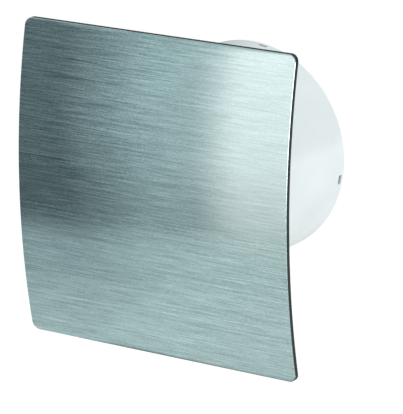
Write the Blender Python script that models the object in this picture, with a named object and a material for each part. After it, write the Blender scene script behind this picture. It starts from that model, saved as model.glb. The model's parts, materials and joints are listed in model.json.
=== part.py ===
"""Bathroom extractor fan for a 125 mm duct, with a bowed steel front panel.

Metres, +Z up. The room is at -Y and the duct runs into the wall along +Y. The origin is on the duct's axis, in
the plane of the wall.
"""

import math

import bmesh
import bpy
from mathutils import Matrix, Vector

# Front panel: a slice of an upright-standing cylinder whose axis is horizontal.
PANEL_WIDTH = 0.176
PANEL_HEIGHT = 0.183
PANEL_MIDDLE_Z = -0.007
PANEL_FRONT_Y = -0.030
PANEL_BOW_RADIUS = 0.4155
PANEL_CORNER = 0.0045
SKIN_THICKNESS = 0.0006
BACKING_THICKNESS = 0.0025
RIB_HEIGHT = 0.0035
RIB_WIDTH = 0.0016

# Studs that plug the panel into the grille.
STUD_X = 0.061
STUD_OFF_MIDDLE = 0.047
STUD_RADIUS = 0.0025
STUD_SEAT_Y = -0.0215
STUD_TIP_Y = -0.0052
STUD_PIN_RADIUS = 0.0018
STUD_PIN_FRONT_Y = -0.0237
STUD_FLANGE_RADIUS = 0.005
PANEL_BOSS_RADIUS = 0.006
PANEL_BOSS_FRONT_Y = -0.0255
UPRIGHT_RIB_X = 0.040
UPRIGHT_RIB_LENGTH = 0.16
CROSS_RIB_OFF_MIDDLE = 0.030
CROSS_RIB_LENGTH = 0.158

# Base frame: the tray against the wall, and the grille plate that closes its front.
BASE_WIDTH = 0.138
BASE_HEIGHT = 0.154
BASE_CORNER = 0.008
BASE_PLATE = 0.0025
RIM_WALL = 0.002
GRILLE_FRONT_Y = -0.014
GRILLE_PLATE = 0.0018
SEAT_HEIGHT = 0.002
COVER_BOSS_RADIUS = 0.004
COVER_PILOT_RADIUS = 0.0017
EAR_RADIUS = 0.0042
EAR_PILOT_RADIUS = 0.0016
CLAMP_BOSS_RADIUS = 0.0026
CLAMP_BOSS_FRONT_Y = -0.0056
SMALL_PILOT_RADIUS = 0.0013
CABLE_HOLE_RADIUS = 0.0049
WALL_SLOT = (0.008, 0.0046, 0.0022)
LOW_WALL_SLOT_X = 0.050
COVER_SCREW_X = 0.0615
COVER_SCREW_OFF_MIDDLE = 0.0695
WALL_HOLE_X = 0.036
WALL_HOLE_OFF_MIDDLE = 0.0705
EAR_REACH = 0.071
CABLE_X = 0.031
TERMINAL_Z = -0.0755
TERMINAL_X = 0.0
CLAMP_X = 0.019
CLAMP_HALF_PITCH = 0.0056
CLAMP_Z = -0.0742

# Bell mouth and finger guard of the grille plate.
MOUTH_RADIUS = 0.0668
THROAT_RADIUS = 0.0602
THROAT_Y = -0.0094
LIP_WALL = 0.0013
LIP_SUNK = 0.0001
BAR_FRONT_Y = -0.0124
BAR_BACK_Y = -0.0106
BAR_WIDTH = 0.0018
GUARD_RINGS = (0.009, 0.022, 0.035, 0.048)
SPOKES = 8
SPOKE_START = 0.004
SOCKET_RADIUS = 0.0043
SOCKET_BACK_Y = -0.0034
SOCKET_FLOOR = 0.001
COVER_RECESS_RADIUS = 0.0036
COVER_RECESS_DEPTH = 0.0006

# Spigot: the tube that goes into the duct, and the motor's bracket in its far end.
SPIGOT_RADIUS = 0.062
SPIGOT_WALL = 0.0024
SPIGOT_END_Y = 0.076
FLANGE_RADIUS = 0.0663
FLANGE_THICKNESS = 0.0018
LATCH_Y = 0.0718
LATCH_WIDTH = 0.0056
LATCH_LENGTH = 0.003
ARM_TURN = math.radians(-9.5)
ARMS = 4
ARM_FRONT_Y = 0.060
ARM_BACK_Y = 0.067
ARM_WIDTH = 0.005
CENTRE_PLATE_RADIUS = 0.027
CENTRE_PLATE = 0.003
BRACKET_WALL = 0.002
BRACKET_END_Y = 0.0736
MOUNT_HOLE_RADIUS = 0.0043
VENT_RADIUS = 0.008
EAR_HOLE_RADIUS = 0.0017

# Shaded-pole motor, its stack centred on STACK_Y.
STACK_Y = 0.043
STACK_DEPTH = 0.014
BORE_RADIUS = 0.0116
ROTOR_RADIUS = 0.011
SHAFT_RADIUS = 0.002
MOUNT_X = 0.0175
LEG_Z = -0.035
LEG_HEIGHT = 0.010
FOOT = 0.002
BOLT_RADIUS = 0.0015
MOUNT_FLANGE = 0.0018
SHADE_X = 0.0085
SHADE_Z = 0.0126
SHADE_BAR = 0.0018
SHADE_RISE = 0.0062
BOBBIN_HALF = 0.0125
BOBBIN_WALL = 0.001
CHEEK = 0.0012
CHEEK_DEPTH = 0.0286
CHEEK_HEIGHT = 0.028
WINDING_DEPTH = 0.0262
WINDING_HEIGHT = 0.0254
BRIDGE_HALF = 0.0225
BRIDGE_HALF_HEIGHT = 0.0065
BRIDGE_RISE = 0.0042
BUSH_RADIUS = 0.004

# Impeller.
HUB_RADIUS = 0.024
TIP_RADIUS = 0.056
BLADES = 7
HUB_FRONT_Y = 0.001
HUB_BACK_Y = 0.024
BLADE_SPAN_STEPS = 4
BLADE_CHORD_STEPS = 5
BLADE_THICKNESS = 0.0018
BLADE_MIDDLE_Y = 0.0125

# Wires and terminal block.
LEAD_RADIUS = 0.0009
NOTCH_HALF_WIDTH = 0.0056
RIB_END_Y = 0.032
LEAD_X = 0.0014
BLOCK_FRONT_Y = -0.0112
BLOCK_HALF_WIDTH = 0.0085
BLOCK_HALF_HEIGHT = 0.0058
POLE_X = 0.0052
TERMINAL_SCREW_OFF = 0.0033

# Clearance, how far a cutter passes what it cuts, and where blind pilots end.
GAP = 0.0003
PAST = 0.01
FAR_FRONT_Y = -0.03
PILOT_END_Y = -0.001

# The number of sides of round pieces.
SHARP_FROM = math.radians(35)
FINE = 48
MEDIUM = 24
COARSE = 12
SMALL = 8

# Shaft ends, and the nut in front of the hub.
SHAFT_FRONT_Y = -0.0030
SHAFT_BACK_Y = 0.0535
NUT_FRONT_Y = HUB_FRONT_Y - GAP - 0.0024

# Sub-parts whose long chains of Booleans the exact solver leaves open.
MANY_CUTS = ("base_frame", "inner_grille", "motor_bracket")

COLOURS = {
    "steel": ((0.62, 0.66, 0.67), 0.32, 1.0),
    "zinc": ((0.70, 0.70, 0.68), 0.35, 1.0),
    "lamination": ((0.30, 0.31, 0.33), 0.55, 0.8),
    "copper": ((0.72, 0.35, 0.18), 0.3, 1.0),
    "enamel": ((0.45, 0.14, 0.05), 0.35, 0.4),
    "bronze": ((0.60, 0.42, 0.22), 0.45, 1.0),
    "aluminium": ((0.75, 0.76, 0.77), 0.4, 1.0),
    "white_plastic": ((0.86, 0.87, 0.88), 0.35, 0.0),
    "grey_plastic": ((0.16, 0.17, 0.175), 0.4, 0.0),
    "dark_plastic": ((0.03, 0.032, 0.034), 0.5, 0.0),
    "nylon": ((0.80, 0.80, 0.76), 0.5, 0.0),
    "rubber": ((0.04, 0.04, 0.04), 0.8, 0.0),
    "brown_wire": ((0.18, 0.07, 0.03), 0.45, 0.0),
    "blue_wire": ((0.03, 0.12, 0.45), 0.45, 0.0),
}


# ---------------------------------------------------------------- making shapes


def clear_scene():
    for old in list(bpy.data.objects):
        bpy.data.objects.remove(old, do_unlink=True)


def finish_for(name, colour):
    """A Principled material of the sub-part's own, in one of the named colours."""
    base, roughness, metallic = COLOURS[colour]
    material = bpy.data.materials.new(name)
    material.use_nodes = True
    shader = material.node_tree.nodes["Principled BSDF"]
    shader.inputs["Base Color"].default_value = (*base, 1.0)
    shader.inputs["Roughness"].default_value = roughness
    shader.inputs["Metallic"].default_value = metallic
    material.diffuse_color = (*base, 1.0)
    return material


def placed(name, mesh, place, parent):
    thing = bpy.data.objects.new(name, mesh)
    thing.location = place
    thing.parent = parent
    bpy.context.scene.collection.objects.link(thing)
    return thing


def from_bmesh(name, bm, place=(0, 0, 0), parent=None):
    bmesh.ops.recalc_face_normals(bm, faces=bm.faces)
    mesh = bpy.data.meshes.new(name)
    bm.to_mesh(mesh)
    bm.free()
    mesh.shade_smooth()
    mesh.set_sharp_from_angle(angle=SHARP_FROM)
    return placed(name, mesh, place, parent)


def painted(thing, colour):
    """Gives a finished sub-part a material of its own."""
    thing.data.materials.clear()
    thing.data.materials.append(finish_for(thing.name, colour))
    return thing


def as_tool(thing):
    thing.hide_render = True
    thing.display_type = "WIRE"
    return thing


def combine(target, operation, tools):
    for tool in tools:
        as_tool(tool)
        step = target.modifiers.new(tool.name, "BOOLEAN")
        step.operation = operation
        step.object = tool
        if target.name in MANY_CUTS:
            step.solver = "MANIFOLD"
    return target


def cut(target, *tools):
    return combine(target, "DIFFERENCE", tools)


def join(target, *tools):
    return combine(target, "UNION", tools)


def solid_mesh(thing):
    """The mesh that a thing and its Booleans come to. The thing and its tools are removed."""
    bpy.context.view_layer.update()
    graph = bpy.context.evaluated_depsgraph_get()
    mesh = bpy.data.meshes.new_from_object(thing.evaluated_get(graph))
    for step in thing.modifiers:
        bpy.data.objects.remove(step.object, do_unlink=True)
    bpy.data.objects.remove(thing, do_unlink=True)
    return mesh


def ring_of(bm, radius, y, segments):
    if radius == 0:
        return [bm.verts.new((0, y, 0))] * segments
    angles = [2 * math.pi * k / segments for k in range(segments)]
    return [bm.verts.new((radius * math.cos(a), y, radius * math.sin(a))) for a in angles]


def turned(name, profile, segments, place=(0, 0, 0), parent=None):
    """A solid turned about Y. The profile is a loop of (radius, y) points."""
    bm = bmesh.new()
    rings = [ring_of(bm, radius, y, segments) for radius, y in profile]
    for here, there in zip(rings, rings[1:] + rings[:1]):
        for k in range(segments):
            after = (k + 1) % segments
            corners = list(dict.fromkeys([here[k], here[after], there[after], there[k]]))
            if len(corners) > 2:
                bm.faces.new(corners)
    return from_bmesh(name, bm, place, parent)


def disc(name, radius, low_y, high_y, segments, place=(0, 0, 0), parent=None):
    profile = [(0, low_y), (radius, low_y), (radius, high_y), (0, high_y)]
    return turned(name, profile, segments, place, parent)


def tube(name, outer, inner, low_y, high_y, segments, place=(0, 0, 0), parent=None):
    profile = [(inner, low_y), (outer, low_y), (outer, high_y), (inner, high_y)]
    return turned(name, profile, segments, place, parent)


def prism(name, outline, low, high, axis="Y", place=(0, 0, 0), parent=None):
    """An outline carried along an axis. Its points are (x, z) for Y, (y, z) for X and (x, y) for Z."""
    order = {"X": (2, 0, 1), "Y": (0, 2, 1), "Z": (0, 1, 2)}[axis]
    bm = bmesh.new()
    ends = []
    for level in (low, high):
        points = [(u, v, level) for u, v in outline]
        ends.append([bm.verts.new([p[i] for i in order]) for p in points])
    near, far = ends
    bm.faces.new(near)
    bm.faces.new(far)
    for k in range(len(outline)):
        after = (k + 1) % len(outline)
        bm.faces.new([near[k], near[after], far[after], far[k]])
    return from_bmesh(name, bm, place, parent)


def block(name, low, high, place=(0, 0, 0), parent=None):
    bm = bmesh.new()
    size = Vector(high) - Vector(low)
    middle = (Vector(high) + Vector(low)) / 2
    bmesh.ops.create_cube(bm, size=1, matrix=Matrix.Translation(middle) @ Matrix.Diagonal((*size, 1)))
    return from_bmesh(name, bm, place, parent)


def rounded(width, height, radius, steps=4, middle=(0, 0)):
    """The outline of a rectangle with round corners."""
    corners = [(1, 1, 0), (-1, 1, 1), (-1, -1, 2), (1, -1, 3)]
    points = []
    for side_u, side_v, quarter in corners:
        for k in range(steps + 1):
            angle = math.pi / 2 * (quarter + k / steps)
            u = middle[0] + side_u * (width / 2 - radius) + radius * math.cos(angle)
            v = middle[1] + side_v * (height / 2 - radius) + radius * math.sin(angle)
            points.append((u, v))
    return points


def turn_about_duct(thing, angle):
    thing.rotation_euler = (0, -angle, 0)
    return thing


def around(radius, angle, y=0.0):
    return Vector((radius * math.cos(angle), y, radius * math.sin(angle)))


# ---------------------------------------------------------------- screws and nuts


def screw_mesh(name, head_radius, head_height, shank_radius, length):
    """A pan-head screw with a slot. It points along +Y, with the underside of its head at y = 0."""
    profile = [
        (0, -head_height),
        (0.8 * head_radius, -head_height),
        (head_radius, -0.5 * head_height),
        (head_radius, 0),
        (shank_radius, 0),
        (shank_radius, length),
        (0, length),
    ]
    screw = turned(name, profile, SMALL)
    deep = -0.55 * head_height
    wide = 0.13 * head_radius
    slot = block("slot", (-2 * head_radius, -2 * head_height, -wide), (2 * head_radius, deep, wide))
    return solid_mesh(cut(screw, slot))


def hex_nut(name, radius, bore, thickness, place, parent):
    nut = turned(name, [(0, 0), (radius, 0), (radius, thickness), (0, thickness)], 6, place, parent)
    cut(nut, disc(name + "_bore", bore, -thickness, 2 * thickness, COARSE, place))
    return painted(nut, "zinc")


def screws(names, mesh, places, colour, parent):
    for name, place in zip(names, places):
        painted(placed(name, mesh.copy(), place, parent), colour)


def numbered(stem, count):
    return [f"{stem}_{k + 1}" for k in range(count)]


# ---------------------------------------------------------------- front panel


def bow(z):
    """How far behind the panel's foremost line its front lies, at a height z from its middle."""
    return PANEL_BOW_RADIUS - math.sqrt(PANEL_BOW_RADIUS**2 - z**2)


def bowed_plate(name, width, height, corner, depth, thickness, x=0.0, rows=18):
    """A plate that follows the panel's bow, its front this far behind the panel's own."""
    arc = [math.pi / 2 * k / 4 for k in range(5)] if corner else [0.0]
    top = [(height / 2 - corner + corner * math.sin(a), corner - corner * math.cos(a)) for a in arc]
    inner = height / 2 - corner
    levels = [(-inner + 2 * inner * k / rows, 0.0) for k in range(1, rows)]
    lower = [(-z, inset) for z, inset in reversed(top)]
    bm = bmesh.new()
    rows_made = []
    for z, inset in lower + levels + top:
        half = width / 2 - inset
        front = PANEL_FRONT_Y + bow(z) + depth
        sides = [(-half, front), (half, front), (half, front + thickness), (-half, front + thickness)]
        rows_made.append([bm.verts.new((x + u, y, PANEL_MIDDLE_Z + z)) for u, y in sides])
    bm.faces.new(rows_made[0])
    bm.faces.new(rows_made[-1])
    for below, above in zip(rows_made, rows_made[1:]):
        for k in range(4):
            after = (k + 1) % 4
            bm.faces.new([below[k], below[after], above[after], above[k]])
    return from_bmesh(name, bm)


def stud_places():
    ups = (STUD_OFF_MIDDLE, -STUD_OFF_MIDDLE)
    return [(x, 0, PANEL_MIDDLE_Z + up) for up in ups for x in (STUD_X, -STUD_X)]


def make_panel(panel):
    face = bowed_plate("panel_face", PANEL_WIDTH, PANEL_HEIGHT, PANEL_CORNER, 0, SKIN_THICKNESS)
    face.parent = panel
    painted(face, "steel")
    make_backing(panel)
    make_studs(panel)


def make_backing(panel):
    """The plate behind the steel, with ribs that follow its bow and a boss for each stud."""
    depth = SKIN_THICKNESS + GAP
    size = (PANEL_WIDTH, PANEL_HEIGHT, PANEL_CORNER)
    backing = bowed_plate("panel_backing", *size, depth, BACKING_THICKNESS)
    backing.parent = panel
    sunk = depth + BACKING_THICKNESS / 2
    for k, side in enumerate((-1, 1)):
        x = side * UPRIGHT_RIB_X
        rib = bowed_plate(f"upright_rib_{k}", RIB_WIDTH, UPRIGHT_RIB_LENGTH, 0, sunk, RIB_HEIGHT, x, COARSE)
        join(backing, rib)
        z = side * CROSS_RIB_OFF_MIDDLE
        front = PANEL_FRONT_Y + bow(z) + sunk
        middle = PANEL_MIDDLE_Z + z
        low = (-CROSS_RIB_LENGTH / 2, front, middle - RIB_WIDTH / 2)
        high = (CROSS_RIB_LENGTH / 2, front + RIB_HEIGHT - 0.0004, middle + RIB_WIDTH / 2)
        join(backing, block(f"cross_rib_{k}", low, high))
    hole = STUD_PIN_RADIUS + 0.0004
    deep = STUD_PIN_FRONT_Y - GAP
    for k, place in enumerate(stud_places()):
        boss = disc(f"stud_boss_{k}", PANEL_BOSS_RADIUS, PANEL_BOSS_FRONT_Y, STUD_SEAT_Y, COARSE, place)
        join(backing, boss)
        cut(backing, disc(f"stud_hole_{k}", hole, deep, STUD_SEAT_Y + PAST, SMALL, place))
    painted(backing, "dark_plastic")


def make_studs(panel):
    """A flanged stud: its pin goes into the panel's boss, and its round nose into the grille's socket."""
    seat = STUD_SEAT_Y + GAP
    profile = [
        (0, STUD_PIN_FRONT_Y),
        (STUD_PIN_RADIUS, STUD_PIN_FRONT_Y),
        (STUD_PIN_RADIUS, seat),
        (STUD_FLANGE_RADIUS, seat),
        (STUD_FLANGE_RADIUS, seat + 0.0012),
        (STUD_RADIUS, seat + 0.0016),
        (STUD_RADIUS, STUD_TIP_Y - 0.0038),
        (STUD_RADIUS - 0.0005, STUD_TIP_Y - 0.0026),
        (STUD_RADIUS, STUD_TIP_Y - 0.0014),
        (STUD_RADIUS - 0.0008, STUD_TIP_Y),
        (0, STUD_TIP_Y),
    ]
    for name, place in zip(numbered("panel_stud", 4), stud_places()):
        painted(turned(name, profile, SMALL, place, panel), "nylon")


# ---------------------------------------------------------------- base frame and grille


def corner_places():
    ups = (COVER_SCREW_OFF_MIDDLE, -COVER_SCREW_OFF_MIDDLE)
    return [(x, 0, PANEL_MIDDLE_Z + up) for up in ups for x in (COVER_SCREW_X, -COVER_SCREW_X)]


def ear_angles():
    return [math.radians(45 + 90 * k) for k in range(ARMS)]


def tray_outline(inset=0.0):
    width = BASE_WIDTH - 2 * inset
    height = BASE_HEIGHT - 2 * inset
    return rounded(width, height, BASE_CORNER - inset, 4, (0, PANEL_MIDDLE_Z))


def rim_front():
    return GRILLE_FRONT_Y + GRILLE_PLATE + GAP


def make_base(root):
    frame = prism("base_frame", tray_outline(), rim_front(), 0, "Y", (0, 0, 0), root)
    cut(frame, prism("tray_hollow", tray_outline(RIM_WALL), FAR_FRONT_Y, -BASE_PLATE))
    seat_front = -BASE_PLATE - SEAT_HEIGHT
    sunk = -BASE_PLATE / 2
    join(frame, disc("seat_ring", FLANGE_RADIUS - 0.0001, seat_front, sunk, FINE))
    for k, place in enumerate(corner_places()):
        join(frame, disc(f"cover_boss_{k}", COVER_BOSS_RADIUS, rim_front(), sunk, COARSE, place))
    for k, angle in enumerate(ear_angles()):
        spot = around(EAR_REACH, angle)
        join(frame, disc(f"ear_boss_{k}", EAR_RADIUS, seat_front, sunk, COARSE, spot))
    for k, side in enumerate((-1, 1)):
        spot = (CLAMP_X, 0, CLAMP_Z + side * CLAMP_HALF_PITCH)
        join(frame, disc(f"clamp_boss_{k}", CLAMP_BOSS_RADIUS, CLAMP_BOSS_FRONT_Y, sunk, SMALL, spot))
    cut(frame, disc("duct_hole", SPIGOT_RADIUS + 0.0004, -PAST, PAST, FINE))
    drill_base(frame)
    painted(frame, "white_plastic")


def drill_base(frame):
    """Blind pilots for the screws, the cable's hole, and four slots for the wall screws."""

    def pilot(name, radius, place):
        cut(frame, disc(name, radius, FAR_FRONT_Y, PILOT_END_Y, SMALL, place))

    for k, place in enumerate(corner_places()):
        pilot(f"cover_pilot_{k}", COVER_PILOT_RADIUS, place)
    for k, angle in enumerate(ear_angles()):
        pilot(f"ear_pilot_{k}", EAR_PILOT_RADIUS, around(EAR_REACH, angle))
    for k, side in enumerate((-1, 1)):
        pilot(f"clamp_pilot_{k}", SMALL_PILOT_RADIUS, (CLAMP_X, 0, CLAMP_Z + side * CLAMP_HALF_PITCH))
    pilot("block_pilot", SMALL_PILOT_RADIUS, (TERMINAL_X, 0, TERMINAL_Z))
    cut(frame, disc("cable_hole", CABLE_HOLE_RADIUS, -PAST, PAST, COARSE, (CABLE_X, 0, CLAMP_Z)))
    slots = [(WALL_HOLE_X, 1), (-WALL_HOLE_X, 1), (-WALL_HOLE_X, -1), (LOW_WALL_SLOT_X, -1)]
    for k, (x, up) in enumerate(slots):
        spot = (x, 0, PANEL_MIDDLE_Z + up * WALL_HOLE_OFF_MIDDLE)
        cut(frame, prism(f"wall_slot_{k}", rounded(*WALL_SLOT), -PAST, PAST, "Y", spot))


def lip_profile():
    """A quarter of an ellipse from the plate's front down to the throat, and back along its outer side."""
    steps = 3
    rise = MOUTH_RADIUS - THROAT_RADIUS
    depth = THROAT_Y - GRILLE_FRONT_Y - LIP_SUNK
    angles = [math.pi / 2 * k / steps for k in range(steps + 1)]
    inner = [(MOUTH_RADIUS - rise * math.sin(a), THROAT_Y - depth * math.cos(a)) for a in angles]
    rise -= LIP_WALL
    depth -= LIP_WALL
    outer = [(MOUTH_RADIUS - rise * math.sin(a), THROAT_Y - depth * math.cos(a)) for a in angles]
    return inner + list(reversed(outer))


def make_grille(root):
    """The tray's front plate: bell mouth, finger guard, and a blind socket for each stud."""
    back = GRILLE_FRONT_Y + GRILLE_PLATE
    grille = prism("inner_grille", tray_outline(), GRILLE_FRONT_Y, back, "Y", (0, 0, 0), root)
    cut(grille, disc("mouth_hole", MOUTH_RADIUS - 0.0004, FAR_FRONT_Y, PAST, FINE))
    join(grille, turned("bell_mouth", lip_profile(), FINE))
    for k in range(SPOKES):
        low = (SPOKE_START, BAR_FRONT_Y, -BAR_WIDTH / 2)
        high = (THROAT_RADIUS + 0.0026, BAR_BACK_Y, BAR_WIDTH / 2)
        spoke = block(f"spoke_{k}", low, high)
        join(grille, turn_about_duct(spoke, 2 * math.pi * (k + 0.5) / SPOKES))
    make_guard_rings(grille)
    for k, place in enumerate(stud_places()):
        socket = disc(f"socket_{k}", SOCKET_RADIUS, GRILLE_FRONT_Y + 0.0004, SOCKET_BACK_Y, SMALL, place)
        join(grille, socket)
        bore = STUD_RADIUS + 0.0005
        end = SOCKET_BACK_Y - SOCKET_FLOOR
        cut(grille, disc(f"socket_bore_{k}", bore, FAR_FRONT_Y, end, SMALL, place))
    for k, place in enumerate(corner_places()):
        cut(grille, disc(f"cover_hole_{k}", COVER_PILOT_RADIUS + 0.0001, FAR_FRONT_Y, PAST, SMALL, place))
        floor = GRILLE_FRONT_Y + COVER_RECESS_DEPTH
        cut(grille, disc(f"cover_recess_{k}", COVER_RECESS_RADIUS, FAR_FRONT_Y, floor, SMALL, place))
    painted(grille, "white_plastic")


def make_guard_rings(grille):
    for k, radius in enumerate(GUARD_RINGS):
        outer = radius + BAR_WIDTH / 2
        low = BAR_FRONT_Y + 0.0002
        high = BAR_BACK_Y - 0.0002
        if k == 0:
            join(grille, disc("guard_boss", outer, low, high, COARSE))
        else:
            join(grille, tube(f"guard_ring_{k}", outer, radius - BAR_WIDTH / 2, low, high, 2 * SPOKES))


def make_cover_screws(root):
    mesh = screw_mesh("cover_screw", 0.0029, 0.0014, 0.0014, 0.0085)
    y = GRILLE_FRONT_Y + COVER_RECESS_DEPTH - GAP
    places = [(x, y, z) for x, _, z in corner_places()]
    screws(numbered("cover_screw", 4), mesh, places, "zinc", root)


# ---------------------------------------------------------------- spigot and motor bracket


def make_spigot(root):
    inner = SPIGOT_RADIUS - SPIGOT_WALL
    seat = -BASE_PLATE - SEAT_HEIGHT - GAP
    front = seat - FLANGE_THICKNESS
    profile = [
        (inner, front),
        (FLANGE_RADIUS, front),
        (FLANGE_RADIUS, seat),
        (SPIGOT_RADIUS, seat),
        (SPIGOT_RADIUS, SPIGOT_END_Y - 0.0008),
        (SPIGOT_RADIUS - 0.0006, SPIGOT_END_Y),
        (inner, SPIGOT_END_Y),
    ]
    spigot = turned("duct_spigot", profile, FINE, (0, 0, 0), root)
    for k, angle in enumerate(ear_angles()):
        spot = around(EAR_REACH, angle)
        join(spigot, disc(f"ear_{k}", EAR_RADIUS, front, seat, COARSE, spot))
        low = (FLANGE_RADIUS - 0.003, front, -EAR_RADIUS)
        web = block(f"ear_web_{k}", low, (EAR_REACH, seat, EAR_RADIUS))
        join(spigot, turn_about_duct(web, angle))
    for k, angle in enumerate(ear_angles()):
        spot = around(EAR_REACH, angle)
        cut(spigot, disc(f"ear_hole_{k}", EAR_HOLE_RADIUS, FAR_FRONT_Y, PAST, SMALL, spot))
    cut_latch_slots(spigot)
    for k, side in enumerate((-1, 1)):
        x = side * LEAD_X * 2.2
        low = (x - 0.0005, front + 0.0001, -inner - 0.001)
        high = (x + 0.0005, RIB_END_Y, -inner + 0.0026)
        join(spigot, block(f"lead_rib_{k}", low, high))
    reach = NOTCH_HALF_WIDTH
    low = (-reach, front - 0.001, -FLANGE_RADIUS - 0.001)
    cut(spigot, block("lead_notch", low, (reach, seat + 0.0006, -inner + 0.0012)))
    painted(spigot, "white_plastic")


def cut_latch_slots(spigot):
    for k in range(ARMS):
        low = (SPIGOT_RADIUS - 0.008, LATCH_Y - LATCH_LENGTH / 2, -LATCH_WIDTH / 2)
        high = (SPIGOT_RADIUS + 0.008, LATCH_Y + LATCH_LENGTH / 2, LATCH_WIDTH / 2)
        slot = block(f"latch_slot_{k}", low, high)
        cut(spigot, turn_about_duct(slot, ARM_TURN + math.pi / 2 * k))


def make_spigot_screws(root):
    mesh = screw_mesh("spigot_screw", 0.0026, 0.0014, 0.0013, 0.0055)
    y = -BASE_PLATE - SEAT_HEIGHT - FLANGE_THICKNESS - 2 * GAP
    places = [around(EAR_REACH, angle, y) for angle in ear_angles()]
    screws(numbered("spigot_screw", 4), mesh, places, "zinc", root)


def make_bracket(root):
    """A ring inside the spigot's far end, four arms, and a centre plate that carries the motor."""
    outer = SPIGOT_RADIUS - SPIGOT_WALL - 0.0004
    inner = outer - BRACKET_WALL
    bracket = tube("motor_bracket", outer, inner, ARM_FRONT_Y, BRACKET_END_Y, FINE, (0, 0, 0), root)
    plate_back = ARM_FRONT_Y + CENTRE_PLATE
    join(bracket, disc("centre_plate", CENTRE_PLATE_RADIUS, ARM_FRONT_Y, plate_back, MEDIUM))
    for k in range(ARMS):
        angle = ARM_TURN + math.pi / 2 * k
        half = ARM_WIDTH / 2
        low = (CENTRE_PLATE_RADIUS - 0.0035, ARM_FRONT_Y + 0.0002, -half)
        arm = block(f"arm_{k}", low, (outer - 0.001, ARM_BACK_Y, half))
        join(bracket, turn_about_duct(arm, angle))
        reach = LATCH_LENGTH / 2 - GAP
        side = LATCH_WIDTH / 2 - GAP
        low = (outer - 0.001, LATCH_Y - reach, -side)
        nub = block(f"nub_{k}", low, (SPIGOT_RADIUS - 0.0006, LATCH_Y + reach, side))
        join(bracket, turn_about_duct(nub, angle))
    low = ARM_FRONT_Y - PAST
    high = plate_back + PAST
    for k, spot in enumerate(mount_places()):
        cut(bracket, disc(f"mount_hole_{k}", MOUNT_HOLE_RADIUS, low, high, COARSE, spot))
    cut(bracket, disc("vent_hole", VENT_RADIUS, low, high, COARSE))
    painted(bracket, "grey_plastic")


# ---------------------------------------------------------------- motor


def mount_places(y=0.0):
    return [(-MOUNT_X, y, 0), (MOUNT_X, y, 0)]


def stack_ends():
    return STACK_Y - STACK_DEPTH / 2, STACK_Y + STACK_DEPTH / 2


def make_mounts(root):
    """A rubber foot with a neck in the bracket's hole and a flange behind it."""
    start = stack_ends()[1] + FOOT + 2 * GAP
    neck_front = ARM_FRONT_Y - GAP
    neck_back = ARM_FRONT_Y + CENTRE_PLATE + GAP
    profile = [
        (0.0020, start),
        (0.0042, start),
        (0.0050, start + 0.003),
        (0.0050, neck_front),
        (0.0040, neck_front),
        (0.0040, neck_back),
        (0.0050, neck_back),
        (0.0046, neck_back + MOUNT_FLANGE),
        (0.0020, neck_back + MOUNT_FLANGE),
    ]
    for name, place in zip(numbered("motor_mount", 2), mount_places()):
        painted(turned(name, profile, COARSE, place, root), "rubber")


def make_bolts(root):
    head_under = stack_ends()[0] - FOOT - 2 * GAP
    nut_front = ARM_FRONT_Y + CENTRE_PLATE + MOUNT_FLANGE + 2 * GAP
    length = nut_front + 0.004 - head_under
    mesh = screw_mesh("motor_bolt", 0.0028, 0.0018, BOLT_RADIUS, length)
    screws(numbered("motor_bolt", 2), mesh, mount_places(head_under), "zinc", root)
    for name, place in zip(numbered("motor_nut", 2), mount_places(nut_front)):
        hex_nut(name, 0.0031, BOLT_RADIUS + 0.0004, 0.0022, place, root)


def make_stack(root):
    """A C-shaped pack of laminations: the rotor's bore above, the coil's leg below."""
    low, high = stack_ends()
    right = [(0.0145, 0.017), (0.023, 0.0095), (0.023, -0.0365), (0.0195, -0.040)]
    outline = right + [(-x, z) for x, z in reversed(right)]
    stack = prism("stator_core", outline, low, high, "Y", (0, 0, 0), root)
    leg_top = LEG_Z + LEG_HEIGHT / 2
    window = rounded(0.0256, -0.0165 - leg_top, 0.0002, 1, (0, (leg_top - 0.0165) / 2))
    cut(stack, prism("window", window, low - 0.01, high + 0.01))
    cut(stack, disc("rotor_bore", BORE_RADIUS, low - 0.01, high + 0.01, MEDIUM))
    for k, place in enumerate(mount_places()):
        cut(stack, disc(f"bolt_hole_{k}", BOLT_RADIUS + 0.0004, 0, 0.1, SMALL, place))
    for k, (x, z) in enumerate(shade_centres()):
        slot = rounded(0.0026, 0.0026, 0.0003, 1, (x, z))
        cut(stack, prism(f"shade_slot_{k}", slot, low - 0.01, high + 0.01))
    painted(stack, "lamination")


def shade_centres():
    return [(SHADE_X, SHADE_Z), (-SHADE_X, -SHADE_Z)]


def make_shading_rings(root):
    """A copper loop through a slot in each pole and round the pole's outer side."""
    low, high = stack_ends()
    bar = SHADE_BAR / 2
    near = low - GAP - bar
    far = high + GAP + bar
    for name, (x, z), up in zip(numbered("shading_ring", 2), shade_centres(), (1, -1)):
        outer_z = up * SHADE_RISE
        middle = ((near + far) / 2, outer_z / 2)
        loop = rounded(far - near + 2 * bar, SHADE_RISE + 2 * bar, 0.0006, 2, middle)
        hole = rounded(far - near - 2 * bar, SHADE_RISE - 2 * bar, 0.0002, 1, middle)
        ring = prism(name, loop, -bar, bar, "X", (x, 0, z), root)
        cut(ring, prism(name + "_hole", hole, -0.01, 0.01, "X", (x, 0, z)))
        painted(ring, "copper")


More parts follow.
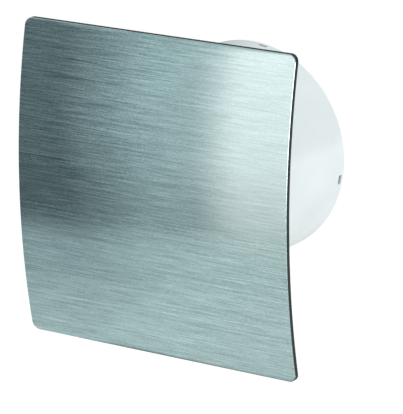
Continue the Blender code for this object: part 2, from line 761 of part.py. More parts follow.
def make_coil(root):
    clear = 2 * GAP
    depth = STACK_DEPTH + clear
    height = LEG_HEIGHT + clear
    middle = (STACK_Y, LEG_Z)
    core = rounded(depth + 2 * BOBBIN_WALL, height + 2 * BOBBIN_WALL, 0.0008, 2, middle)
    bobbin = prism("coil_bobbin", core, -BOBBIN_HALF, BOBBIN_HALF, "X", (0, 0, 0), root)
    cheek = rounded(CHEEK_DEPTH, CHEEK_HEIGHT, 0.003, 3, middle)
    join(bobbin, prism("cheek_left", cheek, -BOBBIN_HALF, CHEEK - BOBBIN_HALF, "X"))
    join(bobbin, prism("cheek_right", cheek, BOBBIN_HALF - CHEEK, BOBBIN_HALF, "X"))
    hole = rounded(depth, height, 0.0003, 1, middle)
    cut(bobbin, prism("leg_hole", hole, -0.02, 0.02, "X"))
    painted(bobbin, "nylon")
    half = BOBBIN_HALF - CHEEK - GAP
    outer = rounded(WINDING_DEPTH, WINDING_HEIGHT, 0.0055, 5, middle)
    winding = prism("coil_winding", outer, -half, half, "X", (0, 0, 0), root)
    around_core = 2 * (BOBBIN_WALL + GAP)
    inside = rounded(depth + around_core, height + around_core, 0.001, 2, middle)
    cut(winding, prism("winding_hole", inside, -0.02, 0.02, "X"))
    painted(winding, "enamel")


def make_bearing(root, name, bush_name, face_y, outward):
    """A bridge from bolt to bolt, with a sleeve bush in its middle. Outward is -1 in front, +1 behind."""

    def at(distance):
        return face_y + outward * distance

    path = [
        (-BRIDGE_HALF, GAP),
        (-0.0122, GAP),
        (-0.0098, BRIDGE_RISE),
        (0.0098, BRIDGE_RISE),
        (0.0122, GAP),
        (BRIDGE_HALF, GAP),
        (BRIDGE_HALF, GAP + FOOT),
        (0.0115, GAP + FOOT),
        (0.0090, BRIDGE_RISE + FOOT),
        (-0.0090, BRIDGE_RISE + FOOT),
        (-0.0115, GAP + FOOT),
        (-BRIDGE_HALF, GAP + FOOT),
    ]
    outline = [(x, at(distance)) for x, distance in path]
    half = BRIDGE_HALF_HEIGHT
    bridge = prism(name, outline, -half, half, "Z", (0, 0, 0), root)
    ends = sorted((at(BRIDGE_RISE), at(0.0093)))
    join(bridge, disc(name + "_hub", 0.0062, *ends, COARSE))
    cut(bridge, disc(name + "_bore", BUSH_RADIUS + GAP, 0, 0.1, COARSE))
    for k, place in enumerate(mount_places()):
        cut(bridge, disc(f"{name}_hole_{k}", BOLT_RADIUS + 0.0004, 0, 0.1, SMALL, place))
    painted(bridge, "aluminium")
    ends = sorted((at(0.0034), at(0.0090)))
    bush = tube(bush_name, BUSH_RADIUS, SHAFT_RADIUS + GAP, *ends, COARSE, (0, 0, 0), root)
    painted(bush, "bronze")


# ---------------------------------------------------------------- electrical parts


def make_terminal_block(root):
    back = -BASE_PLATE - GAP
    low = (-BLOCK_HALF_WIDTH, BLOCK_FRONT_Y, -BLOCK_HALF_HEIGHT)
    high = (BLOCK_HALF_WIDTH, back, BLOCK_HALF_HEIGHT)
    spot = (TERMINAL_X, 0, TERMINAL_Z)
    body = block("terminal_block", low, high, spot, root)
    low = (-0.0018, BLOCK_FRONT_Y - 0.001, -0.01)
    cut(body, block("middle_gap", low, (0.0018, -0.0062, 0.01), spot))
    cut(body, disc("block_hole", 0.0014, -0.02, 0.01, SMALL, spot))
    for k, (x, up) in enumerate(terminal_spots()):
        seat = (TERMINAL_X + x, 0, TERMINAL_Z + up)
        cut(body, disc(f"screw_well_{k}", 0.0018, -0.02, -0.0080, COARSE, seat))
    for k, side in enumerate((-1, 1)):
        bore = rounded(0.0026, 0.0026, 0.0012, 2, (TERMINAL_X + side * POLE_X, -0.0060))
        cut(body, prism(f"wire_bore_{k}", bore, TERMINAL_Z - 0.02, TERMINAL_Z + 0.02, "Z"))
    painted(body, "nylon")
    mesh = screw_mesh("terminal_screw", 0.0014, 0.0012, 0.0009, 0.0014)
    places = [(TERMINAL_X + x, -0.0097, TERMINAL_Z + up) for x, up in terminal_spots()]
    screws(numbered("terminal_screw", 4), mesh, places, "zinc", root)
    mesh = screw_mesh("terminal_block_screw", 0.0014, 0.0011, 0.0009, 0.0048)
    screws(["terminal_block_screw"], mesh, [(TERMINAL_X, -0.0065, TERMINAL_Z)], "zinc", root)


def terminal_spots():
    return [(x, up) for up in (TERMINAL_SCREW_OFF, -TERMINAL_SCREW_OFF) for x in (-POLE_X, POLE_X)]


def make_cable_entry(root):
    """A grommet in the hole where the mains cable comes in, and a strap that grips the cable."""
    profile = [
        (0.0032, 0.0),
        (0.0046, 0.0),
        (0.0046, -BASE_PLATE - GAP),
        (0.0063, -BASE_PLATE - GAP),
        (0.0058, -BASE_PLATE - 0.0018),
        (0.0032, -BASE_PLATE - 0.0018),
    ]
    spot = (CABLE_X, -GAP, CLAMP_Z)
    painted(turned("cable_grommet", profile, COARSE, spot, root), "rubber")
    path = [
        (-0.0073, -0.0059),
        (-0.0034, -0.0059),
        (-0.0022, -0.0082),
        (0.0022, -0.0082),
        (0.0034, -0.0059),
        (0.0073, -0.0059),
        (0.0073, -0.0075),
        (0.0037, -0.0075),
        (0.0026, -0.0097),
        (-0.0026, -0.0097),
        (-0.0037, -0.0075),
        (-0.0073, -0.0075),
    ]
    outline = [(y, CLAMP_Z + z) for z, y in path]
    strap = prism("cable_clamp", outline, CLAMP_X - 0.003, CLAMP_X + 0.003, "X", (0, 0, 0), root)
    places = [(CLAMP_X, -0.0078, CLAMP_Z + side * CLAMP_HALF_PITCH) for side in (-1, 1)]
    for k, (x, _, z) in enumerate(places):
        cut(strap, disc(f"strap_hole_{k}", 0.0014, -0.02, 0.01, SMALL, (x, 0, z)))
    painted(strap, "white_plastic")
    mesh = screw_mesh("cable_clamp_screw", 0.0015, 0.0011, 0.0009, 0.0062)
    screws(numbered("cable_clamp_screw", 2), mesh, places, "zinc", root)


def smooth_route(points, each=3):
    """Points along a Catmull-Rom curve through the given ones."""
    route = []
    spread = [points[0]] + points + [points[-1]]
    for before, start, end, after in zip(spread, spread[1:], spread[2:], spread[3:]):
        a, b, c, d = (Vector(p) for p in (before, start, end, after))
        for k in range(each):
            t = k / each
            bend = (2 * a - 5 * b + 4 * c - d) * t**2 + (3 * b - a - 3 * c + d) * t**3
            route.append((2 * b + (c - a) * t + bend) / 2)
    return route + [Vector(points[-1])]


def make_lead(root, name, side, colour):
    """A wire from the coil, along the spigot's floor between its two ribs, and out to a terminal."""
    floor = -(SPIGOT_RADIUS - SPIGOT_WALL) + LEAD_RADIUS + 0.0004
    beside = side * LEAD_X
    pole = TERMINAL_X + side * POLE_X
    points = [
        (side * 0.006, 0.0475, -0.0493),
        (side * 0.0056, 0.0472, -0.0520),
        (side * 0.0035, 0.0435, -0.0565),
        (beside, 0.036, floor),
        (beside, 0.020, floor),
        (beside, 0.005, floor),
        (beside, -0.0037, floor),
        (side * 0.00142, -0.0055, floor - 0.0007),
        (side * 0.00146, -0.0062, floor - 0.0025),
        (side * 0.0018, -0.0062, floor - 0.0050),
        (side * 0.0036, -0.0061, floor - 0.0080),
        (side * 0.0049, -0.0060, floor - 0.0101),
        (pole, -0.0060, TERMINAL_Z + BLOCK_HALF_HEIGHT + 0.0004),
        (pole, -0.0060, TERMINAL_Z + BLOCK_HALF_HEIGHT - 0.0020),
    ]
    route = smooth_route(points)
    curve = bpy.data.curves.new(name, "CURVE")
    curve.dimensions = "3D"
    curve.bevel_depth = LEAD_RADIUS
    curve.bevel_resolution = 1
    curve.use_fill_caps = True
    line = curve.splines.new("POLY")
    line.points.add(len(route) - 1)
    for point, spot in zip(line.points, route):
        point.co = (*spot, 1.0)
    lead = bpy.data.objects.new(name, curve)
    lead.parent = root
    bpy.context.scene.collection.objects.link(lead)
    curve.materials.append(finish_for(name, colour))


# ---------------------------------------------------------------- what turns


def make_rotor(spin):
    low, high = stack_ends()
    profile = [
        (0, SHAFT_FRONT_Y),
        (SHAFT_RADIUS - 0.0004, SHAFT_FRONT_Y),
        (SHAFT_RADIUS, SHAFT_FRONT_Y + 0.0004),
        (SHAFT_RADIUS, SHAFT_BACK_Y - 0.0004),
        (SHAFT_RADIUS - 0.0004, SHAFT_BACK_Y),
        (0, SHAFT_BACK_Y),
    ]
    painted(turned("motor_shaft", profile, COARSE, (0, 0, 0), spin), "zinc")
    core_low = low - 0.001
    core_high = high + 0.001
    bore = SHAFT_RADIUS + GAP
    profile = [
        (bore, core_low),
        (ROTOR_RADIUS - 0.0015, core_low),
        (ROTOR_RADIUS - 0.001, core_low + 0.001),
        (ROTOR_RADIUS, core_low + 0.001),
        (ROTOR_RADIUS, core_high - 0.001),
        (ROTOR_RADIUS - 0.001, core_high - 0.001),
        (ROTOR_RADIUS - 0.0015, core_high),
        (bore, core_high),
    ]
    painted(turned("rotor_core", profile, MEDIUM, (0, 0, 0), spin), "lamination")
    starts = {"thrust_washer_front": core_low - 0.0014, "thrust_washer_rear": core_high + 0.0004}
    for name, start in starts.items():
        washer = tube(name, 0.0036, bore, start, start + 0.001, COARSE, (0, 0, 0), spin)
        painted(washer, "nylon")


def blade_point(span, along, side):
    """A point of a blade: span from hub (0) to tip (1), then along its chord, and side -1 face to 1 back."""
    radius = HUB_RADIUS - 0.0012 + (TIP_RADIUS - HUB_RADIUS + 0.0012) * span
    pitch = math.radians(46 - 21 * span)
    chord = 0.0215 + 0.0205 * span
    across = (along - 0.5) * chord
    camber = 0.10 * chord * (1 - (2 * along - 1) ** 2)
    thin = side * BLADE_THICKNESS / 2 * (1 - 0.72 * abs(2 * along - 1) ** 3)
    around_duct = across * math.cos(pitch) + (camber + thin) * math.sin(pitch)
    through_duct = across * math.sin(pitch) - (camber + thin) * math.cos(pitch)
    sweep = math.radians(14) * span**2
    return around(radius, around_duct / radius + sweep, BLADE_MIDDLE_Y + through_duct)


def blade(name, turn):
    bm = bmesh.new()
    spans = [k / (BLADE_SPAN_STEPS - 1) for k in range(BLADE_SPAN_STEPS)]
    chords = [k / (BLADE_CHORD_STEPS - 1) for k in range(BLADE_CHORD_STEPS)]
    loop = [(c, -1) for c in chords] + [(c, 1) for c in reversed(chords)]
    sections = [[bm.verts.new(blade_point(span, c, side)) for c, side in loop] for span in spans]
    for here, there in zip(sections, sections[1:]):
        for k in range(len(loop)):
            after = (k + 1) % len(loop)
            bm.faces.new([here[k], here[after], there[after], there[k]])
    last = len(loop) - 1
    for section in (sections[0], sections[-1]):
        for k in range(BLADE_CHORD_STEPS - 1):
            bm.faces.new([section[k], section[k + 1], section[last - k - 1], section[last - k]])
    return turn_about_duct(from_bmesh(name, bm), turn)


def make_impeller(spin):
    wall = 0.0018
    boss = 0.0048
    bore = SHAFT_RADIUS + GAP
    inside = HUB_RADIUS - wall
    profile = [
        (bore, HUB_FRONT_Y),
        (HUB_RADIUS - 0.003, HUB_FRONT_Y),
        (HUB_RADIUS, HUB_FRONT_Y + 0.003),
        (HUB_RADIUS, HUB_BACK_Y),
        (inside, HUB_BACK_Y),
        (inside, HUB_FRONT_Y + 0.0038),
        (inside - 0.002, HUB_FRONT_Y + wall),
        (boss, HUB_FRONT_Y + wall),
        (boss, 0.016),
        (bore, 0.016),
    ]
    impeller = turned("impeller", profile, 35, (0, 0, 0), spin)
    for k in range(BLADES):
        join(impeller, blade(f"blade_{k}", 2 * math.pi * k / BLADES))
    painted(impeller, "white_plastic")
    hex_nut("impeller_nut", 0.0042, SHAFT_RADIUS + 0.0004, 0.0024, (0, NUT_FRONT_Y, 0), spin)


# ---------------------------------------------------------------- the whole fan


def empty(name, parent=None):
    return placed(name, None, (0, 0, 0), parent)


def main():
    clear_scene()
    root = empty("fan_on_wall")
    panel = empty("panel_pull", root)
    spin = empty("impeller_spin", root)
    make_panel(panel)
    make_base(root)
    make_grille(root)
    make_cover_screws(root)
    make_spigot(root)
    make_spigot_screws(root)
    make_bracket(root)
    make_mounts(root)
    make_bolts(root)
    make_stack(root)
    make_shading_rings(root)
    make_coil(root)
    front, rear = stack_ends()
    make_bearing(root, "bearing_bracket_front", "bush_front", front, -1)
    make_bearing(root, "bearing_bracket_rear", "bush_rear", rear, 1)
    make_terminal_block(root)
    make_cable_entry(root)
    make_lead(root, "motor_lead_live", 1, "brown_wire")
    make_lead(root, "motor_lead_neutral", -1, "blue_wire")
    make_rotor(spin)
    make_impeller(spin)


main()
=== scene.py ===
"""The looks of the bathroom extractor fan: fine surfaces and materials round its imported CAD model.

Metres, in the frame of the CAD: +Z up, the room at -Y, the duct's axis along +Y through the origin.
"""

import json
from math import atan2, ceil, cos, hypot, pi, radians, sin, sqrt, tan

import bmesh
import bpy
from mathutils import Matrix, Vector

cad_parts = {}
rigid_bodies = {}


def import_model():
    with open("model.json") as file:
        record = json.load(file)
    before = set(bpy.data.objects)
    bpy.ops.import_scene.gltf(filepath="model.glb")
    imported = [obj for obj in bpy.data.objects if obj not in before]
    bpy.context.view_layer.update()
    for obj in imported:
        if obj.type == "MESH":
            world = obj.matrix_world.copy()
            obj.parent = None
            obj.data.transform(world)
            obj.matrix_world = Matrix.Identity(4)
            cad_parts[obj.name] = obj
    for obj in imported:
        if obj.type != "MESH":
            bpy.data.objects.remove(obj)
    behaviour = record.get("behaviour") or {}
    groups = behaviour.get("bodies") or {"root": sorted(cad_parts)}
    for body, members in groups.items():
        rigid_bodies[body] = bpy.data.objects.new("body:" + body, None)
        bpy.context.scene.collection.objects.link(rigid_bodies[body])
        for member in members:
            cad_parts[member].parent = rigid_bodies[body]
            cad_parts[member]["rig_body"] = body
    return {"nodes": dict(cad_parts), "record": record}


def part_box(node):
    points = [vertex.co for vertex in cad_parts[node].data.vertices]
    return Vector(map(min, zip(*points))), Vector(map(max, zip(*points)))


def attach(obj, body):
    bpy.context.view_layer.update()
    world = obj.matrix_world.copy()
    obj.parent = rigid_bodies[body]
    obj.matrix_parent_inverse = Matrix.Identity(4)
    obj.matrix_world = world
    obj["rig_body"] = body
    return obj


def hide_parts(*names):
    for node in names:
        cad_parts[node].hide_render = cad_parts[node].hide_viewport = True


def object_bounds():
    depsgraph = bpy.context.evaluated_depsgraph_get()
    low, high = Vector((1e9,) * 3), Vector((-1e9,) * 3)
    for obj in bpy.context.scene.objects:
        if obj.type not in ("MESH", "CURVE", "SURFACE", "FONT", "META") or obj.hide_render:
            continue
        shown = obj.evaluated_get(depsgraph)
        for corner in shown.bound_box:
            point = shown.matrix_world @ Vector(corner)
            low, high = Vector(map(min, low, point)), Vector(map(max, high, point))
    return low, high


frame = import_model()
cad_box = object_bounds()

SLOT_OF = {part["node"]: part["material_slot"] for part in frame["record"]["subparts"]}

# Segments round pieces of different sizes.
LARGE = 192
MIDDLE = 96
LITTLE = 48
TINY = 32

SHARP_FROM = radians(32)
GAP = 0.0003
PAST = 0.01
SOFT_EDGE = 0.0003

# Sheet and plate thicknesses, which the nodes' boxes don't hold.
SKIN = 0.0006
SKIN_EDGE = 0.00052
BACK_EDGE = 0.00006
PANEL_CORNER = 0.0045
BACKING = 0.0025
RIB_WIDTH = 0.0016
RIB_HEIGHT = 0.0035
BASE_PLATE = 0.0025
RIM_WALL = 0.002
GRILLE_PLATE = 0.0018
SPIGOT_RADIUS = 0.062
SPIGOT_WALL = 0.0024
FLANGE = 0.0018
FLANGE_RADIUS = 0.0663
EAR_RADIUS = 0.0042
SEAT_HEIGHT = 0.002
CHEEK = 0.0012

# The motor's laminations, its holes, and the middles of its shading slots (x, z).
SHEET = 0.0005
BOLT_HOLE = 0.0019
SHAFT_HOLE = 0.0023
SHADE_CENTRES = (0.0085, 0.0126), (-0.0085, -0.0126)

# Places along the duct's axis and round it that the nodes' boxes don't hold.
THROAT_Y = -0.0094
BAR_FRONT_Y = -0.0124
BAR_BACK_Y = -0.0106
BAR_WIDTH = 0.0018
PILOT_END_Y = -0.001
HUB_FRONT_Y = 0.001
HUB_BACK_Y = 0.024
HUB_RADIUS = 0.024
TIP_RADIUS = 0.056
NUB_REACH = 0.0611
STUD_SEAT_Y = -0.0215
LATCH_Y = 0.0718
LATCH_WIDTH = 0.0056
LATCH_LENGTH = 0.003

# The impeller's blades: angles in degrees, and how far their roots are sunk in the hub.
ROOT_PITCH = 46
TWIST = 21
TIP_SWEEP = 14
ROOT_CHORD = 0.0215
TIP_CHORD = 0.042
CAMBER = 0.10
HALF_BLADE = 0.0009
EDGE_TAPER = 0.72
BLADE_SUNK = 0.0012
BLADE_MIDDLE_Y = 0.0125

# Camera: the direction it looks from, its distance and its framing.
CAMERA_AZIMUTH = 0.5781
CAMERA_ELEVATION = 0.2912
CAMERA_ROLL = -0.0086
CAMERA_DISTANCE = 1.660
CAMERA_RIGHT = 0.02886
CAMERA_UP = -0.00283
CAMERA_LENS = 264.2

FLOOR_DROP = 0.20
ORIGIN = (0, 0, 0)


def box(node):
    """A CAD node's lowest corner, highest corner and middle."""
    low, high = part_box(node)
    return low, high, (low + high) / 2


def middles(stem, count=4):
    """The middles of a family of numbered CAD nodes."""
    return [box(f"{stem}_{k}")[2] for k in range(1, count + 1)]


# ---- materials


def add_node(tree, kind, inputs=None, **settings):
    """A shader node, with values or links for its inputs."""
    made = tree.nodes.new("ShaderNode" + kind)
    for key, value in settings.items():
        setattr(made, key, value)
    for key, value in (inputs or {}).items():
        if isinstance(value, bpy.types.NodeSocket):
            tree.links.new(value, made.inputs[key])
        else:
            made.inputs[key].default_value = value
    return made


def ramp(tree, value, stops, interpolation):
    """The colour of a ramp of (position, colour) stops at the value."""
    made = add_node(tree, "ValToRGB", {"Fac": value})
    band = made.color_ramp
    band.interpolation = interpolation
    band.elements.remove(band.elements[1])
    band.elements[0].position = stops[0][0]
    band.elements[0].color = (*stops[0][1], 1.0)
    for position, colour in stops[1:]:
        band.elements.new(position).color = (*colour, 1.0)
    return made.outputs["Color"]


class Finish:
    """A material in the making: a Principled shader, and the nodes that lead to it."""

    def __init__(self, name, roughness, metallic=0.0, **constants):
        self.material = bpy.data.materials.new(name)
        self.material.use_nodes = True
        self.tree = self.material.node_tree
        self.shader = self.tree.nodes["Principled BSDF"]
        self.shader.inputs["Roughness"].default_value = roughness
        self.shader.inputs["Metallic"].default_value = metallic
        for key, value in constants.items():
            self.shader.inputs[key.replace("_", " ")].default_value = value
        self.place = add_node(self.tree, "TexCoord").outputs["Object"]
        self.height = None

    def stretched(self, scale):
        """Object coordinates with a scale of their own on each axis."""
        return add_node(self.tree, "Mapping", {"Vector": self.place, "Scale": scale}).outputs[0]

    def noise(self, size, detail=3.0, roughness=0.55, place=None):
        """Noise with blobs of this size in metres, from about 0.25 to 0.75."""
        inputs = {
            "Vector": place or self.place,
            "Scale": 1.0 if size is None else 1.0 / size,
            "Detail": detail,
            "Roughness": roughness,
        }
        return add_node(self.tree, "TexNoise", inputs).outputs["Fac"]

    def spread(self, value, low, high, start=0.3, end=0.7):
        """The value, carried from start..end to low..high."""
        inputs = {"Value": value, "From Min": start, "From Max": end, "To Min": low, "To Max": high}
        return add_node(self.tree, "MapRange", inputs).outputs["Result"]

    def maths(self, operation, first, second):
        made = add_node(self.tree, "Math", {0: first, 1: second}, operation=operation)
        return made.outputs[0]

    def colours(self, value, *stops):
        """A ramp of (position, linear colour) stops read at the value, as the base colour."""
        colour = ramp(self.tree, value, stops, "LINEAR")
        self.tree.links.new(colour, self.shader.inputs["Base Color"])

    def roughness(self, value):
        self.tree.links.new(value, self.shader.inputs["Roughness"])

    def bump(self, height, depth, strength=1.0):
        """Adds relief of this depth in metres on top of what is there."""
        inputs = {"Height": height, "Distance": depth, "Strength": strength}
        if self.height:
            inputs["Normal"] = self.height
        self.height = add_node(self.tree, "Bump", inputs).outputs["Normal"]
        self.tree.links.new(self.height, self.shader.inputs["Normal"])


def brushed_steel():
    """Stainless sheet brushed along its width, so that its reflections spread up and down. How strongly its
    streaks show is painted light: it follows where the reflections fall dark or bright.
    """
    made = Finish("brushed_steel", 0.25, 1.0, Anisotropic=0.7)
    tangent = add_node(made.tree, "Tangent", direction_type="UV_MAP", uv_map="brushing")
    made.tree.links.new(tangent.outputs[0], made.shader.inputs["Tangent"])
    long_hairs = made.noise(None, 2.0, 0.6, made.stretched((11.0, 1900.0, 1900.0)))
    hairs = made.noise(None, 3.0, 0.6, made.stretched((50.0, 1600.0, 1600.0)))
    grain = made.noise(None, 1.0, 0.5, made.stretched((800.0, 2100.0, 2100.0)))
    clouds = made.noise(0.06, 2.0)
    streaks = made.maths("MULTIPLY", long_hairs, 0.27)
    for layer, share in ((hairs, 0.47), (grain, 0.26)):
        streaks = made.maths("ADD", streaks, made.maths("MULTIPLY", layer, share))
    # Painted light: the streaks' contrast in tone and gloss is strongest on the left of the upper part and
    # weakest on its right. It is middling over the lower part, following where the panel's reflections fall
    # dark or bright. The streaks themselves are the brushing.
    axes = add_node(made.tree, "SeparateXYZ", {0: made.place}).outputs
    above = made.spread(axes[0], 1.6, 0.42, -0.04, 0.06)
    below = made.spread(axes[2], 1.0, 0.0, -0.035, 0.005)
    change = made.maths("MULTIPLY", below, made.maths("SUBTRACT", 0.9, above))
    strength = made.maths("ADD", above, change)
    off = made.maths("MULTIPLY", made.maths("SUBTRACT", streaks, 0.5), strength)
    streaks = made.maths("ADD", off, 0.5)
    dark, dull = (0.172, 0.242, 0.241), (0.262, 0.362, 0.361)
    plain, bright, white = (0.337, 0.455, 0.453), (0.420, 0.558, 0.555), (0.550, 0.700, 0.695)
    made.colours(streaks, (0.30, dark), (0.42, dull), (0.5, plain), (0.58, bright), (0.70, white))
    rough = made.maths("ADD", made.spread(streaks, 0.125, 0.18), made.spread(clouds, -0.015, 0.015))
    made.roughness(rough)
    made.bump(hairs, 0.000005, 0.4)
    return made.material


def moulded(name, dark, light, roughness, grain, depth, sheen_size=0.03, **constants):
    """Injection-moulded plastic: a slow drift of tone, satin patches, and a fine grain in relief."""
    made = Finish(name, roughness, **constants)
    made.colours(made.noise(sheen_size, 2.0), (0.3, dark), (0.7, light))
    patches = made.noise(sheen_size * 0.6, 4.0)
    made.roughness(made.spread(patches, roughness * 0.86, roughness * 1.14))
    made.bump(made.noise(grain, 2.0), depth, 0.5)
    made.bump(made.noise(grain * 14, 2.0), depth * 6, 0.35)
    return made.material


def plated(name, dark, light, roughness, size=0.004):
    """Bright plating: small clouds of tone, and fine scuffs in the gloss."""
    made = Finish(name, roughness, 1.0)
    made.colours(made.noise(size, 4.0, 0.6), (0.32, dark), (0.68, light))
    made.roughness(made.spread(made.noise(size / 5, 4.0, 0.7), roughness * 0.7, roughness * 1.5))
    made.bump(made.noise(size / 12, 3.0), 0.00001, 0.5)
    return made.material


def cast(name, dark, light, roughness, pit, depth, metallic=1.0):
    """A cast, sintered or stamped metal with a pitted skin."""
    made = Finish(name, roughness, metallic)
    cells = add_node(made.tree, "TexVoronoi", {"Vector": made.place, "Scale": 1 / pit})
    made.colours(made.noise(pit * 3, 5.0, 0.7), (0.3, dark), (0.7, light))
    made.roughness(made.spread(made.noise(pit * 2, 3.0), roughness * 0.8, roughness * 1.25))
    made.bump(cells.outputs["Distance"], depth, 0.6)
    made.bump(made.noise(pit * 6, 3.0), depth, 0.5)
    return made.material


def lamination_steel():
    """Punched sheets stacked along Y: bands of tone, and a trace of rust and varnish."""
    made = Finish("lamination_steel", 0.5, 0.85)
    sheets = made.noise(None, 1.0, 0.5, made.stretched((30.0, 1900.0, 30.0)))
    stains = made.noise(0.006, 5.0, 0.65)
    mixed = made.maths("ADD", made.maths("MULTIPLY", sheets, 0.6), made.maths("MULTIPLY", stains, 0.4))
    rust, steel, bright = (0.10, 0.085, 0.075), (0.21, 0.215, 0.225), (0.36, 0.37, 0.39)
    made.colours(mixed, (0.36, rust), (0.5, steel), (0.66, bright))
    made.roughness(made.spread(stains, 0.35, 0.62))
    made.bump(sheets, 0.00003, 0.6)
    return made.material


def enamelled_wire():
    """Copper under red-brown varnish."""
    made = Finish("enamelled_wire", 0.3, 0.55, Coat_Weight=0.6, Coat_Roughness=0.12)
    made.colours(made.noise(0.0012, 3.0), (0.3, (0.26, 0.055, 0.016)), (0.7, (0.50, 0.16, 0.05)))
    made.roughness(made.spread(made.noise(0.003, 3.0), 0.22, 0.4))
    made.bump(made.noise(0.0006, 2.0), 0.00002, 0.4)
    return made.material


def soft_rubber():
    made = Finish("rubber", 0.75, Sheen_Weight=0.15, Sheen_Roughness=0.4)
    made.colours(made.noise(0.004, 4.0, 0.7), (0.3, (0.018, 0.018, 0.018)), (0.7, (0.042, 0.041, 0.040)))
    made.roughness(made.spread(made.noise(0.0015, 3.0), 0.62, 0.85))
    made.bump(made.noise(0.0003, 3.0), 0.00003, 0.6)
    return made.material


def make_finishes():
    """One material for each of the record's slots."""
    return {
        "panel_steel": brushed_steel(),
        "panel_plastic": moulded(
            "black_plastic", (0.004, 0.008, 0.008), (0.009, 0.0135, 0.0135), 0.42, 0.0004, 0.00003,
            Specular_IOR_Level=0.25,
        ),
        "housing_plastic": moulded(
            "white_abs", (0.700, 0.765, 0.765), (0.745, 0.805, 0.805), 0.24, 0.0005, 0.000006, IOR=1.54
        ),
        "bracket_plastic": moulded(
            "grey_plastic", (0.060, 0.066, 0.068), (0.082, 0.089, 0.091), 0.3, 0.0005, 0.00001, IOR=1.5
        ),
        "impeller_plastic": moulded(
            "impeller_plastic", (0.66, 0.685, 0.71), (0.72, 0.745, 0.765), 0.3, 0.0005, 0.00001, IOR=1.52
        ),
        "nylon": moulded(
            "natural_nylon", (0.66, 0.63, 0.54), (0.76, 0.73, 0.65), 0.42, 0.0003, 0.00002, 0.008,
            Subsurface_Weight=0.08, Subsurface_Scale=0.002,
        ),
        "zinc_steel": plated("zinc_steel", (0.56, 0.57, 0.60), (0.74, 0.72, 0.66), 0.26),
        "lamination_steel": lamination_steel(),
        "copper": plated("copper", (0.50, 0.19, 0.09), (0.80, 0.42, 0.25), 0.28),
        "enamelled_wire": enamelled_wire(),
        "sintered_bronze": cast(
            "sintered_bronze", (0.26, 0.16, 0.07), (0.55, 0.39, 0.20), 0.42, 0.00025, 0.00003
        ),
        "cast_aluminium": cast(
            "cast_aluminium", (0.50, 0.51, 0.52), (0.70, 0.71, 0.72), 0.42, 0.0007, 0.00003
        ),
        "rubber": soft_rubber(),
        "wire_brown": moulded(
            "wire_brown", (0.085, 0.030, 0.014), (0.125, 0.047, 0.022), 0.34, 0.0003, 0.00001, 0.006
        ),
        "wire_blue": moulded(
            "wire_blue", (0.010, 0.055, 0.26), (0.018, 0.085, 0.36), 0.34, 0.0003, 0.00001, 0.006
        ),
    }


finishes = make_finishes()


# ---- shapes


def link_object(name, data):
    """An object with this mesh, light or camera in the scene."""
    thing = bpy.data.objects.new(name, data)
    bpy.context.scene.collection.objects.link(thing)
    return thing


def link_mesh(bm, name="solid"):
    mesh = bpy.data.meshes.new(name)
    bm.to_mesh(mesh)
    bm.free()
    return link_object(name, mesh)


def to_solid(bm):
    bmesh.ops.recalc_face_normals(bm, faces=bm.faces)
    return link_mesh(bm)


def join_rings(bm, rings):
    """Faces between each two neighbouring rings. A ring of one vertex, over and over, is a pole."""
    for here, there in zip(rings, rings[1:]):
        for k in range(len(here)):
            after = (k + 1) % len(here)
            corners = list(dict.fromkeys([here[k], here[after], there[after], there[k]]))
            if len(corners) > 2:
                bm.faces.new(corners)


def stand_in(thing, name, node):
    """Puts a finished piece in a CAD node's place, on its body, with the finish of its slot."""
    slot = SLOT_OF[node]
    thing.name = name
    mesh = thing.data
    mesh.shade_smooth()
    mesh.set_sharp_from_angle(angle=SHARP_FROM)
    mesh.materials.clear()
    mesh.materials.append(finishes[slot])
    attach(thing, frame["nodes"][node]["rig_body"])
    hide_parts(node)


def combine(target, operation, tools):
    """Applies Booleans to the target one after the other, and removes the tools."""
    for tool in tools:
        step = target.modifiers.new(tool.name, "BOOLEAN")
        step.operation = operation
        step.solver = "MANIFOLD"
        step.object = tool
    bpy.context.view_layer.update()
    graph = bpy.context.evaluated_depsgraph_get()
    mesh = bpy.data.meshes.new_from_object(target.evaluated_get(graph))
    target.modifiers.clear()
    target.data = mesh
    for tool in tools:
        bpy.data.objects.remove(tool, do_unlink=True)


def join(target, *tools):
    combine(target, "UNION", tools)


def cut(target, *tools):
    combine(target, "DIFFERENCE", tools)


def quarter_turn(steps):
    return [pi / 2 * k / steps for k in range(steps + 1)]


def anticlockwise(points):
    area = sum(a[0] * b[1] - b[0] * a[1] for a, b in zip(points, points[1:] + points[:1]))
    return points if area > 0 else points[::-1]


def inset(points, distance):
    """An anticlockwise outline moved inwards."""
    moved = []
    for before, here, after in zip(points[-1:] + points[:-1], points, points[1:] + points[:1]):
        came = (Vector(here) - Vector(before)).normalized()
        goes = (Vector(after) - Vector(here)).normalized()
        first, second = Vector((-came.y, came.x)), Vector((-goes.y, goes.x))
        step = (first + second) * distance / max(0.3, 1 + first.dot(second))
        moved.append((here[0] + step.x, here[1] + step.y))
    return moved


def fillet(points, radius, steps=4, fixed=()):
    """A closed outline with its corners rounded, except those whose places in the list are fixed."""
    least_turn, most_of_side = 0.05, 0.48
    rounded_off = []
    for k, here in enumerate(points):
        here = Vector(here)
        back = Vector(points[k - 1]) - here
        ahead = Vector(points[(k + 1) % len(points)]) - here
        turn = pi - back.angle(ahead, pi)
        if k in fixed or turn < least_turn:
            rounded_off.append(tuple(here))
            continue
        reach = min(radius * tan(turn / 2), most_of_side * back.length, most_of_side * ahead.length)
        start, end = here + back.normalized() * reach, here + ahead.normalized() * reach
        for j in range(steps + 1):
            t = j / steps
            rounded_off.append(tuple((1 - t) ** 2 * start + 2 * t * (1 - t) * here + t * t * end))
    return rounded_off


def rounded(width, height, radius, steps=8, middle=(0, 0)):
    """The outline of a rectangle with round corners, anticlockwise."""
    points = []
    for quarter, (side_u, side_v) in enumerate(((1, 1), (-1, 1), (-1, -1), (1, -1))):
        for k in range(steps + 1):
            angle = pi / 2 * (quarter + k / steps)
            u = middle[0] + side_u * (width / 2 - radius) + radius * cos(angle)
            v = middle[1] + side_v * (height / 2 - radius) + radius * sin(angle)
            points.append((u, v))
    return points


